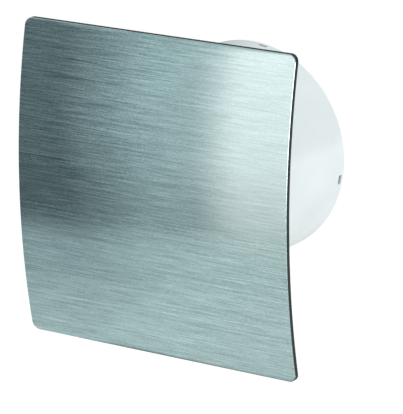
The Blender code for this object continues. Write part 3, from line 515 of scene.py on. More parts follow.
def circle(radius, segments=MIDDLE):
    turns = [2 * pi * k / segments for k in range(segments)]
    return [(radius * cos(a), radius * sin(a)) for a in turns]


def prism(outline, low, high, axis="Y", edge=0.0, steps=3, spot=ORIGIN, levels=None):
    """An outline carried along an axis, its end edges rounded.

    Its points are (x, z) for the axis Y, (y, z) for X and (x, y) for Z.
    Levels is a list of (distance inwards, place along the axis), instead of low, high and edge.
    """
    order = {"X": (2, 0, 1), "Y": (0, 2, 1), "Z": (0, 1, 2)}[axis]
    shift = (spot[0], 0, spot[2])
    outline = anticlockwise(list(outline))
    turns = quarter_turn(steps) if edge else [pi / 2]
    near = [(edge * (1 - sin(a)), low + edge * (1 - cos(a))) for a in turns]
    levels = levels or near + [(distance, low + high - level) for distance, level in reversed(near)]
    bm = bmesh.new()
    rings = []
    for distance, level in levels:
        points = inset(outline, distance) if distance else outline
        flat = [(u, v, level) for u, v in points]
        rings.append([bm.verts.new([p[i] + s for i, s in zip(order, shift)]) for p in flat])
    bm.faces.new(rings[0])
    bm.faces.new(rings[-1])
    join_rings(bm, rings)
    return to_solid(bm)


def block(low, high, edge=0.0):
    """A block with all its edges rounded when it has an edge radius."""
    outline = [(low[0], low[2]), (high[0], low[2]), (high[0], high[2]), (low[0], high[2])]
    if edge:
        centre = ((high[0] + low[0]) / 2, (high[2] + low[2]) / 2)
        outline = rounded(high[0] - low[0], high[2] - low[2], edge, 3, centre)
    return prism(outline, low[1], high[1], "Y", edge)


def turned(profile, segments, edge=0.0, spot=ORIGIN, steps=3, relief=None):
    """A solid turned about a line along Y through the spot.

    The profile is a closed loop of (radius, y); relief(radius, y, angle) moves the radius.
    """
    if edge:
        poles = [k for k, (radius, _) in enumerate(profile) if radius == 0]
        profile = fillet(profile, edge, steps, poles)
    bm = bmesh.new()
    rings = []
    for radius, y in profile:
        if radius == 0:
            rings.append([bm.verts.new((spot[0], y, spot[2]))] * segments)
            continue
        ring = []
        for k in range(segments):
            angle = 2 * pi * k / segments
            reach = relief(radius, y, angle) if relief else radius
            place = (reach * cos(angle) + spot[0], y, reach * sin(angle) + spot[2])
            ring.append(bm.verts.new(place))
        rings.append(ring)
    join_rings(bm, rings + rings[:1])
    return to_solid(bm)


def disc(radius, low, high, spot=ORIGIN, edge=0.0, segments=LITTLE):
    profile = [(0, low), (radius, low), (radius, high), (0, high)]
    return turned(profile, segments, edge, spot)


def hole(radius, low, high, spot, segments=TINY):
    """A cutter that goes past both ends."""
    return disc(radius, low - PAST, high + PAST, spot, 0.0, segments)


def tube(outer, inner, low, high, segments, edge):
    profile = [(inner, low), (outer, low), (outer, high), (inner, high)]
    return turned(profile, segments, edge)


def around(radius, angle, y=0.0):
    """A point round the duct's axis."""
    return Vector((radius * cos(angle), y, radius * sin(angle)))


def turn_about_duct(thing, angle):
    thing.data.transform(Matrix.Rotation(-angle, 4, "Y"))
    return thing


# ---- front panel


def bow_radius():
    """The radius of the panel's bow, from how deep the steel is over its height."""
    low, high, _ = box("panel_face")
    half, deep = (high.z - low.z) / 2, high.y - low.y - SKIN
    return (half**2 + deep**2) / (2 * deep)


BOW_RADIUS = bow_radius()


def bow(z):
    """How far behind the panel's foremost line its front lies at a height z from its middle."""
    return BOW_RADIUS - sqrt(BOW_RADIUS**2 - z**2)


def bowed_sheet(low, high, corner, thickness, edge, back_edge=None):
    """A sheet from low to high that follows the bow, with round corners and rounded edges."""
    back_edge = back_edge or edge
    rows = 72
    half_width, half_height = (high.x - low.x) / 2, (high.z - low.z) / 2
    middle_x, middle_z = (high.x + low.x) / 2, (high.z + low.z) / 2
    centre_x, centre_z = half_width - corner, half_height - corner
    levels = [centre_z * (2 * k / rows - 1) for k in range(1, rows)]
    curl = [(1 - sin(a), 1 - cos(a)) for a in quarter_turn(4)]
    rings = [(edge * d, edge * y) for d, y in curl]
    rings += [(back_edge * d, thickness - back_edge * y) for d, y in reversed(curl)]
    bm = bmesh.new()
    made = []
    for distance, depth in rings:
        radius = corner - distance
        arc = quarter_turn(8)
        side = [(centre_x + radius * cos(a), centre_z + radius * sin(a)) for a in arc]
        right = [(x, -z) for x, z in reversed(side)] + [(half_width - distance, z) for z in levels] + side
        loop = right + [(-x, z) for x, z in reversed(right)]
        made.append([bm.verts.new((middle_x + x, low.y + bow(z) + depth, middle_z + z)) for x, z in loop])
    join_rings(bm, made)
    count = len(made[0])
    for ring in (made[0], made[-1]):
        for k in range(count // 2 - 1):
            bm.faces.new([ring[k], ring[k + 1], ring[count - 2 - k], ring[count - 1 - k]])
    return to_solid(bm)


def map_brushing(thing):
    """A UV map whose first direction runs up the sheet, across the brushing."""
    per_metre, shift = 5, 0.5
    layer = thing.data.uv_layers.new(name="brushing")
    for loop in thing.data.loops:
        x, y, z = thing.data.vertices[loop.vertex_index].co
        layer.data[loop.index].uv = (per_metre * z + shift, per_metre * x + shift + y)


def make_panel_skin():
    low, high, _ = box("panel_face")
    skin = bowed_sheet(low, high, PANEL_CORNER, SKIN, SKIN_EDGE, BACK_EDGE)
    map_brushing(skin)
    stand_in(skin, "panel_skin", "panel_face")


def panel_ribs(low, middle):
    """Two upright ribs that follow the bow, and two straight ones across."""
    front = low.y + BACKING / 2
    half_length, half_rib = 0.08, RIB_WIDTH / 2
    ribs = []
    for side in (-1, 1):
        x = side * 0.040
        rib_low = Vector((x - half_rib, front, middle.z - half_length))
        rib_high = Vector((x + half_rib, front, middle.z + half_length))
        ribs.append(bowed_sheet(rib_low, rib_high, 0.0006, RIB_HEIGHT, 0.0003))
        z = side * 0.030
        start = front + bow(z)
        rib_low = (-0.079, start, middle.z + z - half_rib)
        rib_high = (0.079, start + RIB_HEIGHT - 0.0004, middle.z + z + half_rib)
        ribs.append(block(rib_low, rib_high, 0.0004))
    return ribs


def make_panel_backing():
    """The black plate behind the steel: ribs that follow its bow, and a boss for each stud."""
    low, high, middle = box("panel_backing")
    deep = bow((high.z - low.z) / 2) + BACKING
    plate_high = Vector((high.x, low.y + deep, high.z))
    backing = bowed_sheet(low, plate_high, PANEL_CORNER, BACKING, 0.0002)
    studs = middles("panel_stud")
    bosses = [disc(0.006, -0.0255, STUD_SEAT_Y, spot, 0.0004) for spot in studs]
    join(backing, *panel_ribs(low, middle), *bosses)
    cut(backing, *[disc(0.0022, -0.024, STUD_SEAT_Y + PAST, spot) for spot in studs])
    stand_in(backing, "panel_backing_plate", "panel_backing")


# ---- spigot


def slot_angles():
    """The latch slots and the bracket's arms stand a quarter turn apart."""
    return [radians(-9.5) + pi / 2 * k for k in range(4)]


def spigot_profile(inner, front, seat, end):
    outer = SPIGOT_RADIUS
    flange = [(inner, front), (FLANGE_RADIUS, front), (FLANGE_RADIUS, seat), (outer, seat)]
    rim = [(outer, end - 0.0008), (outer - 0.0006, end), (inner + 0.0003, end), (inner, end - 0.0004)]
    return flange + rim


def make_spigot():
    """The duct's tube with its flange, screw ears, latch slots, and two ribs that guide the leads."""
    low, high, _ = box("duct_spigot")
    outer, inner = SPIGOT_RADIUS, SPIGOT_RADIUS - SPIGOT_WALL
    front, seat, end = low.y, low.y + FLANGE, high.y
    spigot = turned(spigot_profile(inner, front, seat, end), LARGE, 0.00035)
    ears = middles("spigot_screw")
    added = []
    for spot in ears:
        added.append(disc(EAR_RADIUS, front, seat, spot, SOFT_EDGE))
        web_high = (hypot(spot.x, spot.z), seat, EAR_RADIUS)
        web = block((FLANGE_RADIUS - 0.003, front, -EAR_RADIUS), web_high, 0.0002)
        added.append(turn_about_duct(web, atan2(spot.z, spot.x)))
    for side in (-1, 1):
        x, half_rib = side * 0.00308, 0.0005
        rib_low = (x - half_rib, front + 0.0001, -inner - 0.001)
        added.append(block(rib_low, (x + half_rib, 0.032, -inner + 0.0026), 0.0002))
    join(spigot, *added)
    taken = [hole(0.0017, front, seat, spot) for spot in ears]
    for angle in slot_angles():
        outline = rounded(LATCH_WIDTH, LATCH_LENGTH, 0.0004, 4, (0, LATCH_Y))
        slot = prism(outline, outer - 0.008, outer + 0.008, "Z")
        taken.append(turn_about_duct(slot, angle - pi / 2))
    half_notch = 0.0056
    notch_low = (-half_notch, front - 0.001, -FLANGE_RADIUS - 0.001)
    taken.append(block(notch_low, (half_notch, seat + 0.0006, -inner + 0.0012)))
    cut(spigot, *taken)
    stand_in(spigot, "spigot_tube", "duct_spigot")


# ---- studs, screws and nuts


def make_studs():
    for k in range(1, 5):
        low, high, middle = box(f"panel_stud_{k}")
        tip, seat = high.y, STUD_SEAT_Y + GAP
        profile = [(0, low.y), (0.0018, low.y), (0.0018, seat), (0.0050, seat), (0.0050, seat + 0.0012)]
        profile += [(0.0025, seat + 0.0016), (0.0025, tip - 0.0038), (0.0020, tip - 0.0026)]
        profile += [(0.0025, tip - 0.0014), (0.0017, tip), (0, tip)]
        stand_in(turned(profile, LITTLE, 0.0003, middle), f"stud_{k}", f"panel_stud_{k}")


def cross_outline(half_width, reach):
    quarter = [(reach, half_width), (half_width, half_width), (half_width, reach)]
    points = []
    for _ in range(4):
        points += quarter
        quarter = [(-v, u) for u, v in quarter]
    return points


def make_screw(name, node, head, shank, pitch, threaded=None):
    """A pan-head screw with a cross recess. Head is its height; threaded is how much of it has a thread."""
    low, high, middle = box(node)
    wide = (high.x - low.x) / 2
    under = low.y + head
    thread_start = high.y - (threaded or high.y - under - pitch)
    depth = 0.22 * shank

    def thread(radius, y, angle):
        if radius < shank or y < thread_start:
            return radius
        return radius - depth * (1 - abs(2 * ((y / pitch - angle / (2 * pi)) % 1) - 1))

    arcs = quarter_turn(6)
    dome = [(wide * (0.55 + 0.45 * sin(a)), low.y + 0.6 * head * (1 - cos(a))) for a in arcs]
    count = ceil((high.y - thread_start) / (pitch / 6))
    levels = [thread_start + (high.y - shank - thread_start) * k / count for k in range(count + 1)]
    point = [(0.9 * shank * (1 - k / 3), high.y - 0.5 * shank * (1 - k / 3)) for k in range(3)]
    shaft = [(shank, under + 0.00002)] + [(shank, y) for y in levels if y > under + 0.00003] + point
    collar = [(wide, under - 0.08 * head), (0.96 * wide, under)]
    profile = [(0, low.y)] + dome + collar + shaft + [(0, high.y)]
    screw = turned(profile, TINY, 0, middle, relief=thread)
    recess = cross_outline(0.13 * wide, 0.6 * wide)
    cut(screw, prism(recess, low.y - head, low.y + 0.6 * head, spot=middle))
    stand_in(screw, name, node)


def make_screws():
    for k in range(1, 5):
        make_screw(f"cover_screw_head_{k}", f"cover_screw_{k}", 0.0014, 0.0014, 0.0011)
        make_screw(f"spigot_screw_head_{k}", f"spigot_screw_{k}", 0.0014, 0.0013, 0.0010)
        make_screw(f"pinch_screw_{k}", f"terminal_screw_{k}", 0.0012, 0.0009, 0.0005)
    for k in (1, 2):
        make_screw(f"long_bolt_{k}", f"motor_bolt_{k}", 0.0018, 0.0015, 0.0005, 0.010)
        make_screw(f"strap_screw_{k}", f"cable_clamp_screw_{k}", 0.0011, 0.0009, 0.0008)
    make_screw("block_screw", "terminal_block_screw", 0.0011, 0.0009, 0.0008)


def make_nut(name, node, bore):
    """A hexagon nut, its corners chamfered on both sides."""
    low, high, middle = box(node)
    wide = (high.x - low.x) / 2
    corners = [(wide * cos(pi / 3 * k), wide * sin(pi / 3 * k)) for k in range(6)]
    nut = prism(corners, low.y, high.y, spot=middle)
    slope, rim = 0.0005, 0.0003
    face, waist = 0.78 * wide, 1.02 * wide
    sides = [(face, low.y - slope), (waist, low.y + slope), (waist, high.y - slope), (face, high.y + slope)]
    profile = [(0, low.y - slope), *sides, (0, high.y + slope)]
    combine(nut, "INTERSECT", [turned(profile, LITTLE, 0, middle)])
    flare = bore + 2 * rim
    sides = [(flare, low.y - rim), (bore, low.y + rim), (bore, high.y - rim), (flare, high.y + rim)]
    cut(nut, turned([(0, low.y - rim), *sides, (0, high.y + rim)], TINY, 0, middle))
    stand_in(nut, name, node)


def make_nuts():
    make_nut("mount_nut_1", "motor_nut_1", 0.0019)
    make_nut("mount_nut_2", "motor_nut_2", 0.0019)
    make_nut("hub_nut", "impeller_nut", 0.0024)


# ---- base frame and grille


def tray_outline(inwards=0.0):
    low, high, middle = box("base_frame")
    width, height = high.x - low.x - 2 * inwards, high.z - low.z - 2 * inwards
    return rounded(width, height, 0.008 - inwards, 10, (middle.x, middle.z))


def make_base():
    """The tray: a floor, a rim, the spigot's seat, and bosses with blind pilots."""
    low, high, middle = box("base_frame")
    floor = high.y - BASE_PLATE
    seat, sunk = floor - SEAT_HEIGHT, high.y - BASE_PLATE / 2
    tray = prism(tray_outline(), low.y, high.y, "Y", 0.0005)
    cut(tray, prism(tray_outline(RIM_WALL), low.y - PAST, floor, "Y", 0.0008))
    covers, ears, clamps = middles("cover_screw"), middles("spigot_screw"), middles("cable_clamp_screw", 2)
    added = [disc(FLANGE_RADIUS - 0.0001, seat, sunk, ORIGIN, SOFT_EDGE, LARGE)]
    for radius, start, spots in ((0.004, low.y, covers), (EAR_RADIUS, seat, ears), (0.0026, -0.0056, clamps)):
        added += [disc(radius, start, sunk, spot, SOFT_EDGE) for spot in spots]
    join(tray, *added)
    taken = [disc(0.0624, -PAST, PAST, ORIGIN, 0, LARGE)]
    block_screw = box("terminal_block_screw")[2]
    for radius, spots in ((0.0017, covers), (0.0016, ears), (0.0013, [*clamps, block_screw])):
        taken += [disc(radius, low.y - PAST, PILOT_END_Y, spot, 0, TINY) for spot in spots]
    taken.append(disc(0.0049, -PAST, PAST, box("cable_grommet")[2]))
    for x, up in ((0.036, 1), (-0.036, 1), (-0.036, -1), (0.050, -1)):
        wall_slot = rounded(0.008, 0.0046, 0.0022, 8, (x, middle.z + up * 0.0705))
        taken.append(prism(wall_slot, -PAST, PAST))
    cut(tray, *taken)
    stand_in(tray, "tray", "base_frame")


def lip_profile(front):
    """A quarter of an ellipse from the plate's front down to the throat, and back along its outer side."""
    mouth, throat, wall = 0.0668, 0.0602, 0.0013
    rise, depth = mouth - throat, THROAT_Y - front - 0.0001
    turns = quarter_turn(14)
    inner = [(mouth - rise * sin(a), THROAT_Y - depth * cos(a)) for a in turns]
    rise, depth = rise - wall, depth - wall
    outer = [(mouth - rise * sin(a), THROAT_Y - depth * cos(a)) for a in turns]
    return inner + outer[::-1]


def make_grille():
    """The tray's front plate: bell mouth, finger guard, and a blind socket for each stud."""
    low, high, _ = box("inner_grille")
    studs, half_bar, soft = middles("panel_stud"), BAR_WIDTH / 2, 0.0004
    grille = prism(tray_outline(), low.y, low.y + GRILLE_PLATE, "Y", 0.0006, 4)
    cut(grille, disc(0.0664, low.y - PAST, PAST, ORIGIN, 0, LARGE))
    added = [turned(lip_profile(low.y), LARGE)]
    for k in range(8):
        spoke = block((0.004, BAR_FRONT_Y, -half_bar), (0.0628, BAR_BACK_Y, half_bar), soft)
        added.append(turn_about_duct(spoke, pi / 4 * (k + 0.5)))
    start, end = BAR_FRONT_Y + 0.0002, BAR_BACK_Y - 0.0002
    added.append(disc(0.0099, start, end, ORIGIN, soft, MIDDLE))
    for radius in (0.022, 0.035, 0.048):
        added.append(tube(radius + half_bar, radius - half_bar, start, end, LARGE, soft))
    added += [disc(0.0043, low.y + 0.0004, high.y, spot, SOFT_EDGE) for spot in studs]
    join(grille, *added)
    taken = [disc(0.003, low.y - PAST, high.y - 0.001, spot, 0.0002, TINY) for spot in studs]
    for spot in middles("cover_screw"):
        taken.append(disc(0.0018, low.y - PAST, PAST, spot, 0, TINY))
        taken.append(disc(0.0036, low.y - PAST, low.y + 0.0006, spot, 0.0001))
    cut(grille, *taken)
    stand_in(grille, "grille", "inner_grille")


# ---- motor bracket


def make_bracket():
    """A ring inside the spigot's far end, four arms, and a centre plate that carries the motor."""
    low, high, _ = box("motor_bracket")
    outer, wall = 0.0592, 0.002
    back, root = low.y + 0.003, outer - 0.001
    bracket = tube(outer, outer - wall, low.y, high.y, LARGE, 0.0004)
    added = [disc(0.027, low.y, back, ORIGIN, 0.0006, MIDDLE)]
    half_arm, half_nub, half_length = 0.0025, LATCH_WIDTH / 2 - GAP, LATCH_LENGTH / 2
    for angle in slot_angles():
        arm = block((0.0235, low.y + 0.0002, -half_arm), (root, 0.067, half_arm), 0.0006)
        added.append(turn_about_duct(arm, angle))
        nub_low = (root, LATCH_Y - half_length + GAP, -half_nub)
        nub_high = (NUB_REACH, LATCH_Y + half_length - GAP, half_nub)
        added.append(turn_about_duct(block(nub_low, nub_high, 0.0003), angle))
    join(bracket, *added)
    holes = [hole(0.0043, low.y, back, spot, LITTLE) for spot in middles("motor_mount", 2)]
    cut(bracket, hole(0.008, low.y, back, ORIGIN, MIDDLE), *holes)
    stand_in(bracket, "spider", "motor_bracket")


def make_mounts():
    bore, waist, rim = 0.0020, 0.0040, 0.0050
    for k in (1, 2):
        low, high, middle = box(f"motor_mount_{k}")
        profile = [(bore, low.y), (0.0042, low.y), (rim, low.y + 0.003), (rim, 0.0597), (waist, 0.0597)]
        profile += [(waist, 0.0633), (rim, 0.0633), (0.0046, high.y), (bore, high.y)]
        stand_in(turned(profile, LITTLE, 0.0004, middle), f"mount_{k}", f"motor_mount_{k}")


# ---- motor


def stepped(low, high, pitch, depth, each):
    """Levels for a prism whose sides have a rounded ridge in every pitch: turns of wire."""
    count = round((high - low) / pitch) * each
    turns = [k / each % 1 for k in range(count)] + [0.0]
    levels = [low + (high - low) * k / count for k in range(count + 1)]
    return [(depth * (1 - sin(pi * turn)), level) for turn, level in zip(turns, levels)]


def laminated(low, high, sheet, depth):
    """Levels for a prism whose sides have a fine groove between each two sheets."""
    count = round((high - low) / sheet)
    step = (high - low) / count
    levels = [(0.0, low)]
    for k in range(1, count):
        edge = low + k * step
        levels += [(0.0, edge - 0.1 * step), (depth, edge - 0.05 * step)]
        levels += [(depth, edge + 0.05 * step), (0.0, edge + 0.1 * step)]
    return levels + [(0.0, high)]


def make_stack():
    """A C-shaped pack of laminations: the rotor's bore above, the coil's leg below."""
    low, high, _ = box("stator_core")
    start, end = low.y - PAST, high.y + PAST
    right = [(0.0145, 0.017), (0.023, 0.0095), (0.023, -0.0365), (0.0195, -0.040)]
    outline = fillet(right + [(-x, z) for x, z in reversed(right)], 0.0008)
    sheets = laminated(low.y, high.y, SHEET, 0.00007)
    stack = prism(outline, low.y, high.y, levels=sheets)
    grooves = [(-distance, level) for distance, level in sheets]
    inner_levels = [(0.0, start)] + grooves[1:-1] + [(0.0, end)]
    window = rounded(0.0256, 0.0135, 0.0004, 3, (0, -0.02325))
    taken = [prism(window, 0, 0, levels=inner_levels), prism(circle(0.0116), 0, 0, levels=inner_levels)]
    for spot in SHADE_CENTRES:
        taken.append(prism(rounded(0.0026, 0.0026, 0.0003, 3, spot), start, end))
    taken += [disc(BOLT_HOLE, 0, 0.1, spot, 0, TINY) for spot in middles("motor_mount", 2)]
    cut(stack, *taken)
    stand_in(stack, "laminations", "stator_core")


def make_shading_rings():
    """A copper loop through a slot in each pole and round the pole's outer side."""
    bar = 0.0009
    for k, (x, _) in enumerate(SHADE_CENTRES, 1):
        low, high, middle = box(f"shading_ring_{k}")
        centre = (middle.y, middle.z)
        deep, tall = high.y - low.y, high.z - low.z
        ring = prism(rounded(deep, tall, 0.0009, 6, centre), x - bar, x + bar, "X", 0.0003)
        inside = rounded(deep - 4 * bar, tall - 4 * bar, 0.0003, 4, centre)
        cut(ring, prism(inside, x - PAST, x + PAST, "X"))
        stand_in(ring, f"copper_ring_{k}", f"shading_ring_{k}")


def make_coil():
    low, high, middle = box("coil_bobbin")
    centre = (middle.y, middle.z)
    bobbin = prism(rounded(0.0166, 0.0126, 0.0008, 4, centre), low.x, high.x, "X")
    cheek = rounded(high.y - low.y, high.z - low.z, 0.003, 10, centre)
    cheek_left = prism(cheek, low.x, low.x + CHEEK, "X", 0.0003)
    cheek_right = prism(cheek, high.x - CHEEK, high.x, "X", 0.0003)
    join(bobbin, cheek_left, cheek_right)
    leg = rounded(0.0146, 0.0106, 0.0003, 2, centre)
    cut(bobbin, prism(leg, low.x - PAST, high.x + PAST, "X"))
    stand_in(bobbin, "bobbin", "coil_bobbin")
    low, high, middle = box("coil_winding")
    outline = rounded(high.y - low.y, high.z - low.z, 0.0055, 12, centre)
    turns = stepped(low.x, high.x, 0.00055, 0.00022, 6)
    winding = prism(outline, low.x, high.x, "X", levels=turns)
    inside = rounded(0.0172, 0.0132, 0.001, 3, centre)
    cut(winding, prism(inside, low.x - PAST, high.x + PAST, "X"))
    stand_in(winding, "winding", "coil_winding")


def make_bearing(side, face_y, outward):
    """A bridge from bolt to bolt, with a sleeve bush in its middle. Outward is -1 in front, +1 behind."""

    def at(distance):
        return face_y + outward * distance

    rise, foot = 0.0042, 0.002
    under = [(0.0225, GAP), (0.0122, GAP), (0.0098, rise)]
    over = [(0.0090, rise + foot), (0.0115, GAP + foot), (0.0225, GAP + foot)]
    half = under + [(-x, y) for x, y in reversed(under)]
    path = half + [(-x, y) for x, y in reversed(over)] + over
    outline = fillet([(x, at(y)) for x, y in path], 0.0009, 4)
    bridge = prism(outline, -0.0065, 0.0065, "Z", 0.0005)
    hub_low, hub_high = sorted((at(rise), at(0.0093)))
    join(bridge, disc(0.0062, hub_low, hub_high, ORIGIN, 0.0005))
    holes = [disc(BOLT_HOLE, 0, 0.1, spot, 0, TINY) for spot in middles("motor_mount", 2)]
    cut(bridge, disc(0.0043, 0, 0.1), *holes)
    stand_in(bridge, f"bridge_{side}", f"bearing_bracket_{side}")
    low, high, _ = box(f"bush_{side}")
    stand_in(tube(0.004, SHAFT_HOLE, low.y, high.y, LITTLE, 0.0003), f"sleeve_{side}", f"bush_{side}")


def make_motor():
    make_stack()
    make_shading_rings()
    make_coil()
    low, high, _ = box("stator_core")
    make_bearing("front", low.y, -1)
    make_bearing("rear", high.y, 1)


# ---- electrical parts


def make_terminal_block():
    low, high, middle = box("terminal_block")
    body = block(low, high, 0.0006)
    half_gap, start = 0.0018, low.y - PAST
    gap_low = (middle.x - half_gap, start, low.z - PAST)
    taken = [block(gap_low, (middle.x + half_gap, -0.0062, high.z + PAST))]
    taken.append(disc(0.0014, start, PAST, middle, 0, TINY))
    taken += [disc(0.0018, start, -0.0080, spot, 0, TINY) for spot in middles("terminal_screw")]
    for x in (-0.0052, 0.0052):
        bore = rounded(0.0026, 0.0026, 0.0012, 5, (middle.x + x, -0.0060))
        taken.append(prism(bore, low.z - PAST, high.z + PAST, "Z"))
    cut(body, *taken)
    stand_in(body, "block_body", "terminal_block")


def make_grommet():
    """A grommet in the hole where the mains cable comes in."""
    low, high, middle = box("cable_grommet")
    bore, neck, lip_y = 0.0032, 0.0046, -0.0031
    profile = [(bore, high.y), (neck, high.y), (neck, lip_y), (0.0063, lip_y), (0.0058, low.y), (bore, low.y)]
    stand_in(turned(profile, LITTLE, 0.0004, middle), "grommet", "cable_grommet")


def make_strap():
    """The strap that grips the cable."""
    low, high, middle = box("cable_clamp")
    outer = [(0.0073, -0.0059), (0.0034, -0.0059), (0.0022, -0.0082)]
    inner = [(0.0026, -0.0097), (0.0037, -0.0075), (0.0073, -0.0075)]
    path = outer + [(-z, y) for z, y in reversed(outer)] + [(-z, y) for z, y in reversed(inner)] + inner
    outline = fillet([(y, middle.z + z) for z, y in path], 0.0008, 4)
    strap = prism(outline, low.x, high.x, "X", 0.0003)
    cut(strap, *[disc(0.0014, -0.02, PAST, spot, 0, TINY) for spot in middles("cable_clamp_screw", 2)])
    stand_in(strap, "strap", "cable_clamp")


def smooth_route(points, each=8):
    """Points along a Catmull-Rom curve through the given ones."""
    route = []
    spread = [points[0]] + points + [points[-1]]
    for before, start, end, after in zip(spread, spread[1:], spread[2:], spread[3:]):
        a, b, c, d = (Vector(p) for p in (before, start, end, after))
        for k in range(each):
            t = k / each
            bend = (2 * a - 5 * b + 4 * c - d) * t**2 + (3 * b - a - 3 * c + d) * t**3
            route.append((2 * b + (c - a) * t + bend) / 2)
    return route + [Vector(points[-1])]


def swept(route, radius, sides=16):
    """A round wire along a route, its ends slightly rounded."""
    last = len(route) - 1
    tangents = [(route[min(k + 1, last)] - route[max(k - 1, 0)]).normalized() for k in range(last + 1)]
    across = tangents[0].orthogonal().normalized()
    turns = [2 * pi * j / sides for j in range(sides)]
    bm = bmesh.new()
    rings = []
    for k, (spot, tangent) in enumerate(zip(route, tangents)):
        across = (across - tangent * across.dot(tangent)).normalized()
        up = tangent.cross(across)
        reach = radius * (0.75 if k in (0, last) else 1.0)
        rings.append([bm.verts.new(spot + (across * cos(a) + up * sin(a)) * reach) for a in turns])
    bm.faces.new(rings[0])
    bm.faces.new(rings[-1])
    join_rings(bm, rings)
    return to_solid(bm)


def make_lead(name, node, side):
    """A wire from the coil, along the spigot's floor between its two ribs, and out to a terminal."""
    radius = 0.0009
    floor = -(SPIGOT_RADIUS - SPIGOT_WALL) + radius + 0.0004
    beside, pole = 0.0014, 0.0052
    entry = box("terminal_block")[1].z
    down = [(0.006, 0.0475, -0.0493), (0.0056, 0.0472, -0.0520), (0.0035, 0.0435, -0.0565)]
    along = [(beside, y, floor) for y in (0.036, 0.020, 0.005, -0.0037)]
    out = [
        (0.00142, -0.0055, floor - 0.0007),
        (0.00146, -0.0062, floor - 0.0025),
        (0.0018, -0.0062, floor - 0.0050),
        (0.0036, -0.0061, floor - 0.0080),
        (0.0049, -0.0060, floor - 0.0101),
        (pole, -0.0060, entry + 0.0004),
        (pole, -0.0060, entry - 0.0020),
    ]
    points = [(side * x, y, z) for x, y, z in down + along + out]
    stand_in(swept(smooth_route(points), radius), name, node)


# ---- what turns


def make_shaft():
    low, high, _ = box("motor_shaft")
    stand_in(disc(0.002, low.y, high.y, ORIGIN, 0.0004), "shaft", "motor_shaft")


def make_rotor():
    """A laminated drum between two end rings, its skewed bars just showing as grooves."""
    low, high, _ = box("rotor_core")
    outer, ring = 0.011, 0.001
    start, end = low.y + ring, high.y - ring
    sheets = [(outer - depth, level) for depth, level in laminated(start, end, SHEET, 0.00006)]
    front = [(SHAFT_HOLE, low.y), (0.0095, low.y), (0.0097, low.y + 0.0002), (0.0100, start)]
    back = [(0.0100, end), (0.0097, high.y - 0.0002), (0.0095, high.y), (SHAFT_HOLE, high.y)]

    def bars(radius, y, angle):
        if radius < 0.0105:
            return radius
        wave = cos(17 * (angle + 12 * (y - start)))
        return radius - 0.00018 * max(0.0, (wave - 0.8) / 0.2)

    stand_in(turned(front + sheets + back, 2 * LARGE, relief=bars), "rotor", "rotor_core")


def make_washers():
    for side in ("front", "rear"):
        low, high, _ = box(f"thrust_washer_{side}")
        washer = tube(0.0036, SHAFT_HOLE, low.y, high.y, LITTLE, 0.0002)
        stand_in(washer, f"washer_{side}", f"thrust_washer_{side}")


def blade_point(span, along, side, thin=1.0):
    """A point of a blade: span from hub (0) to tip (1), then along its chord, and side -1 face to 1 back."""
    radius = HUB_RADIUS - BLADE_SUNK + (TIP_RADIUS - HUB_RADIUS + BLADE_SUNK) * span
    pitch = radians(ROOT_PITCH - TWIST * span)
    chord = ROOT_CHORD + (TIP_CHORD - ROOT_CHORD) * span
    off = 2 * along - 1
    across = off / 2 * chord
    camber = CAMBER * chord * (1 - off**2)
    edge = sqrt(max(0.0, 1 - abs(off) ** 60))
    half = side * thin * edge * HALF_BLADE * (1 - EDGE_TAPER * abs(off) ** 3)
    around_duct = across * cos(pitch) + (camber + half) * sin(pitch)
    through_duct = across * sin(pitch) - (camber + half) * cos(pitch)
    sweep = radians(TIP_SWEEP) * span**2
    return around(radius, around_duct / radius + sweep, BLADE_MIDDLE_Y + through_duct)


def blade(turn):
    """A blade lofted from the hub to the tip, with round edges."""
    chords = [(1 - cos(pi * k / 28)) / 2 for k in range(29)]
    spans = [(k / 22, 1.0) for k in range(22)]
    spans += [(1 - 0.0007 * (1 - sin(a)) / 0.0332, cos(a)) for a in (0.0, 0.5, 0.95, 1.3)]
    spans.append((1.0, 0.1))
    loop = [(c, -1) for c in chords] + [(c, 1) for c in chords[-2:0:-1]]
    bm = bmesh.new()
    sections = [[bm.verts.new(blade_point(span, c, side, thin)) for c, side in loop] for span, thin in spans]
    join_rings(bm, sections)
    count = len(loop)
    for ring in (sections[0], sections[-1]):
        for k in range(len(chords) - 1):
            corners = [ring[k], ring[k + 1], ring[(count - k - 1) % count], ring[(count - k) % count]]
            bm.faces.new(list(dict.fromkeys(corners)))
    return turn_about_duct(to_solid(bm), turn)


def make_impeller():
    """The hub, a cup with a boss for the shaft in it, and seven blades."""
    wall, boss_radius, boss_end = 0.0018, 0.0048, 0.016
    front, back = HUB_FRONT_Y, HUB_BACK_Y
    outside, inside = HUB_RADIUS, HUB_RADIUS - wall
    profile = [(SHAFT_HOLE, front), (outside - 0.003, front), (outside, front + 0.003), (outside, back)]
    profile += [(inside, back), (inside, front + 0.0038), (inside - 0.002, front + wall)]
    profile += [(boss_radius, front + wall), (boss_radius, boss_end), (SHAFT_HOLE, boss_end)]
    impeller = turned(profile, LARGE, 0.0006, steps=4)
    join(impeller, *[blade(2 * pi * k / 7) for k in range(7)])
    stand_in(impeller, "hub_and_blades", "impeller")


# ---- room, light and camera


def flat_face(bm, low, high, place):
    """A rectangle from low to high; place carries its (u, v) points into space."""
    corners = [(low[0], low[1]), (high[0], low[1]), (high[0], high[1]), (low[0], high[1])]
    return bm.faces.new([bm.verts.new(place(u, v)) for u, v in corners])


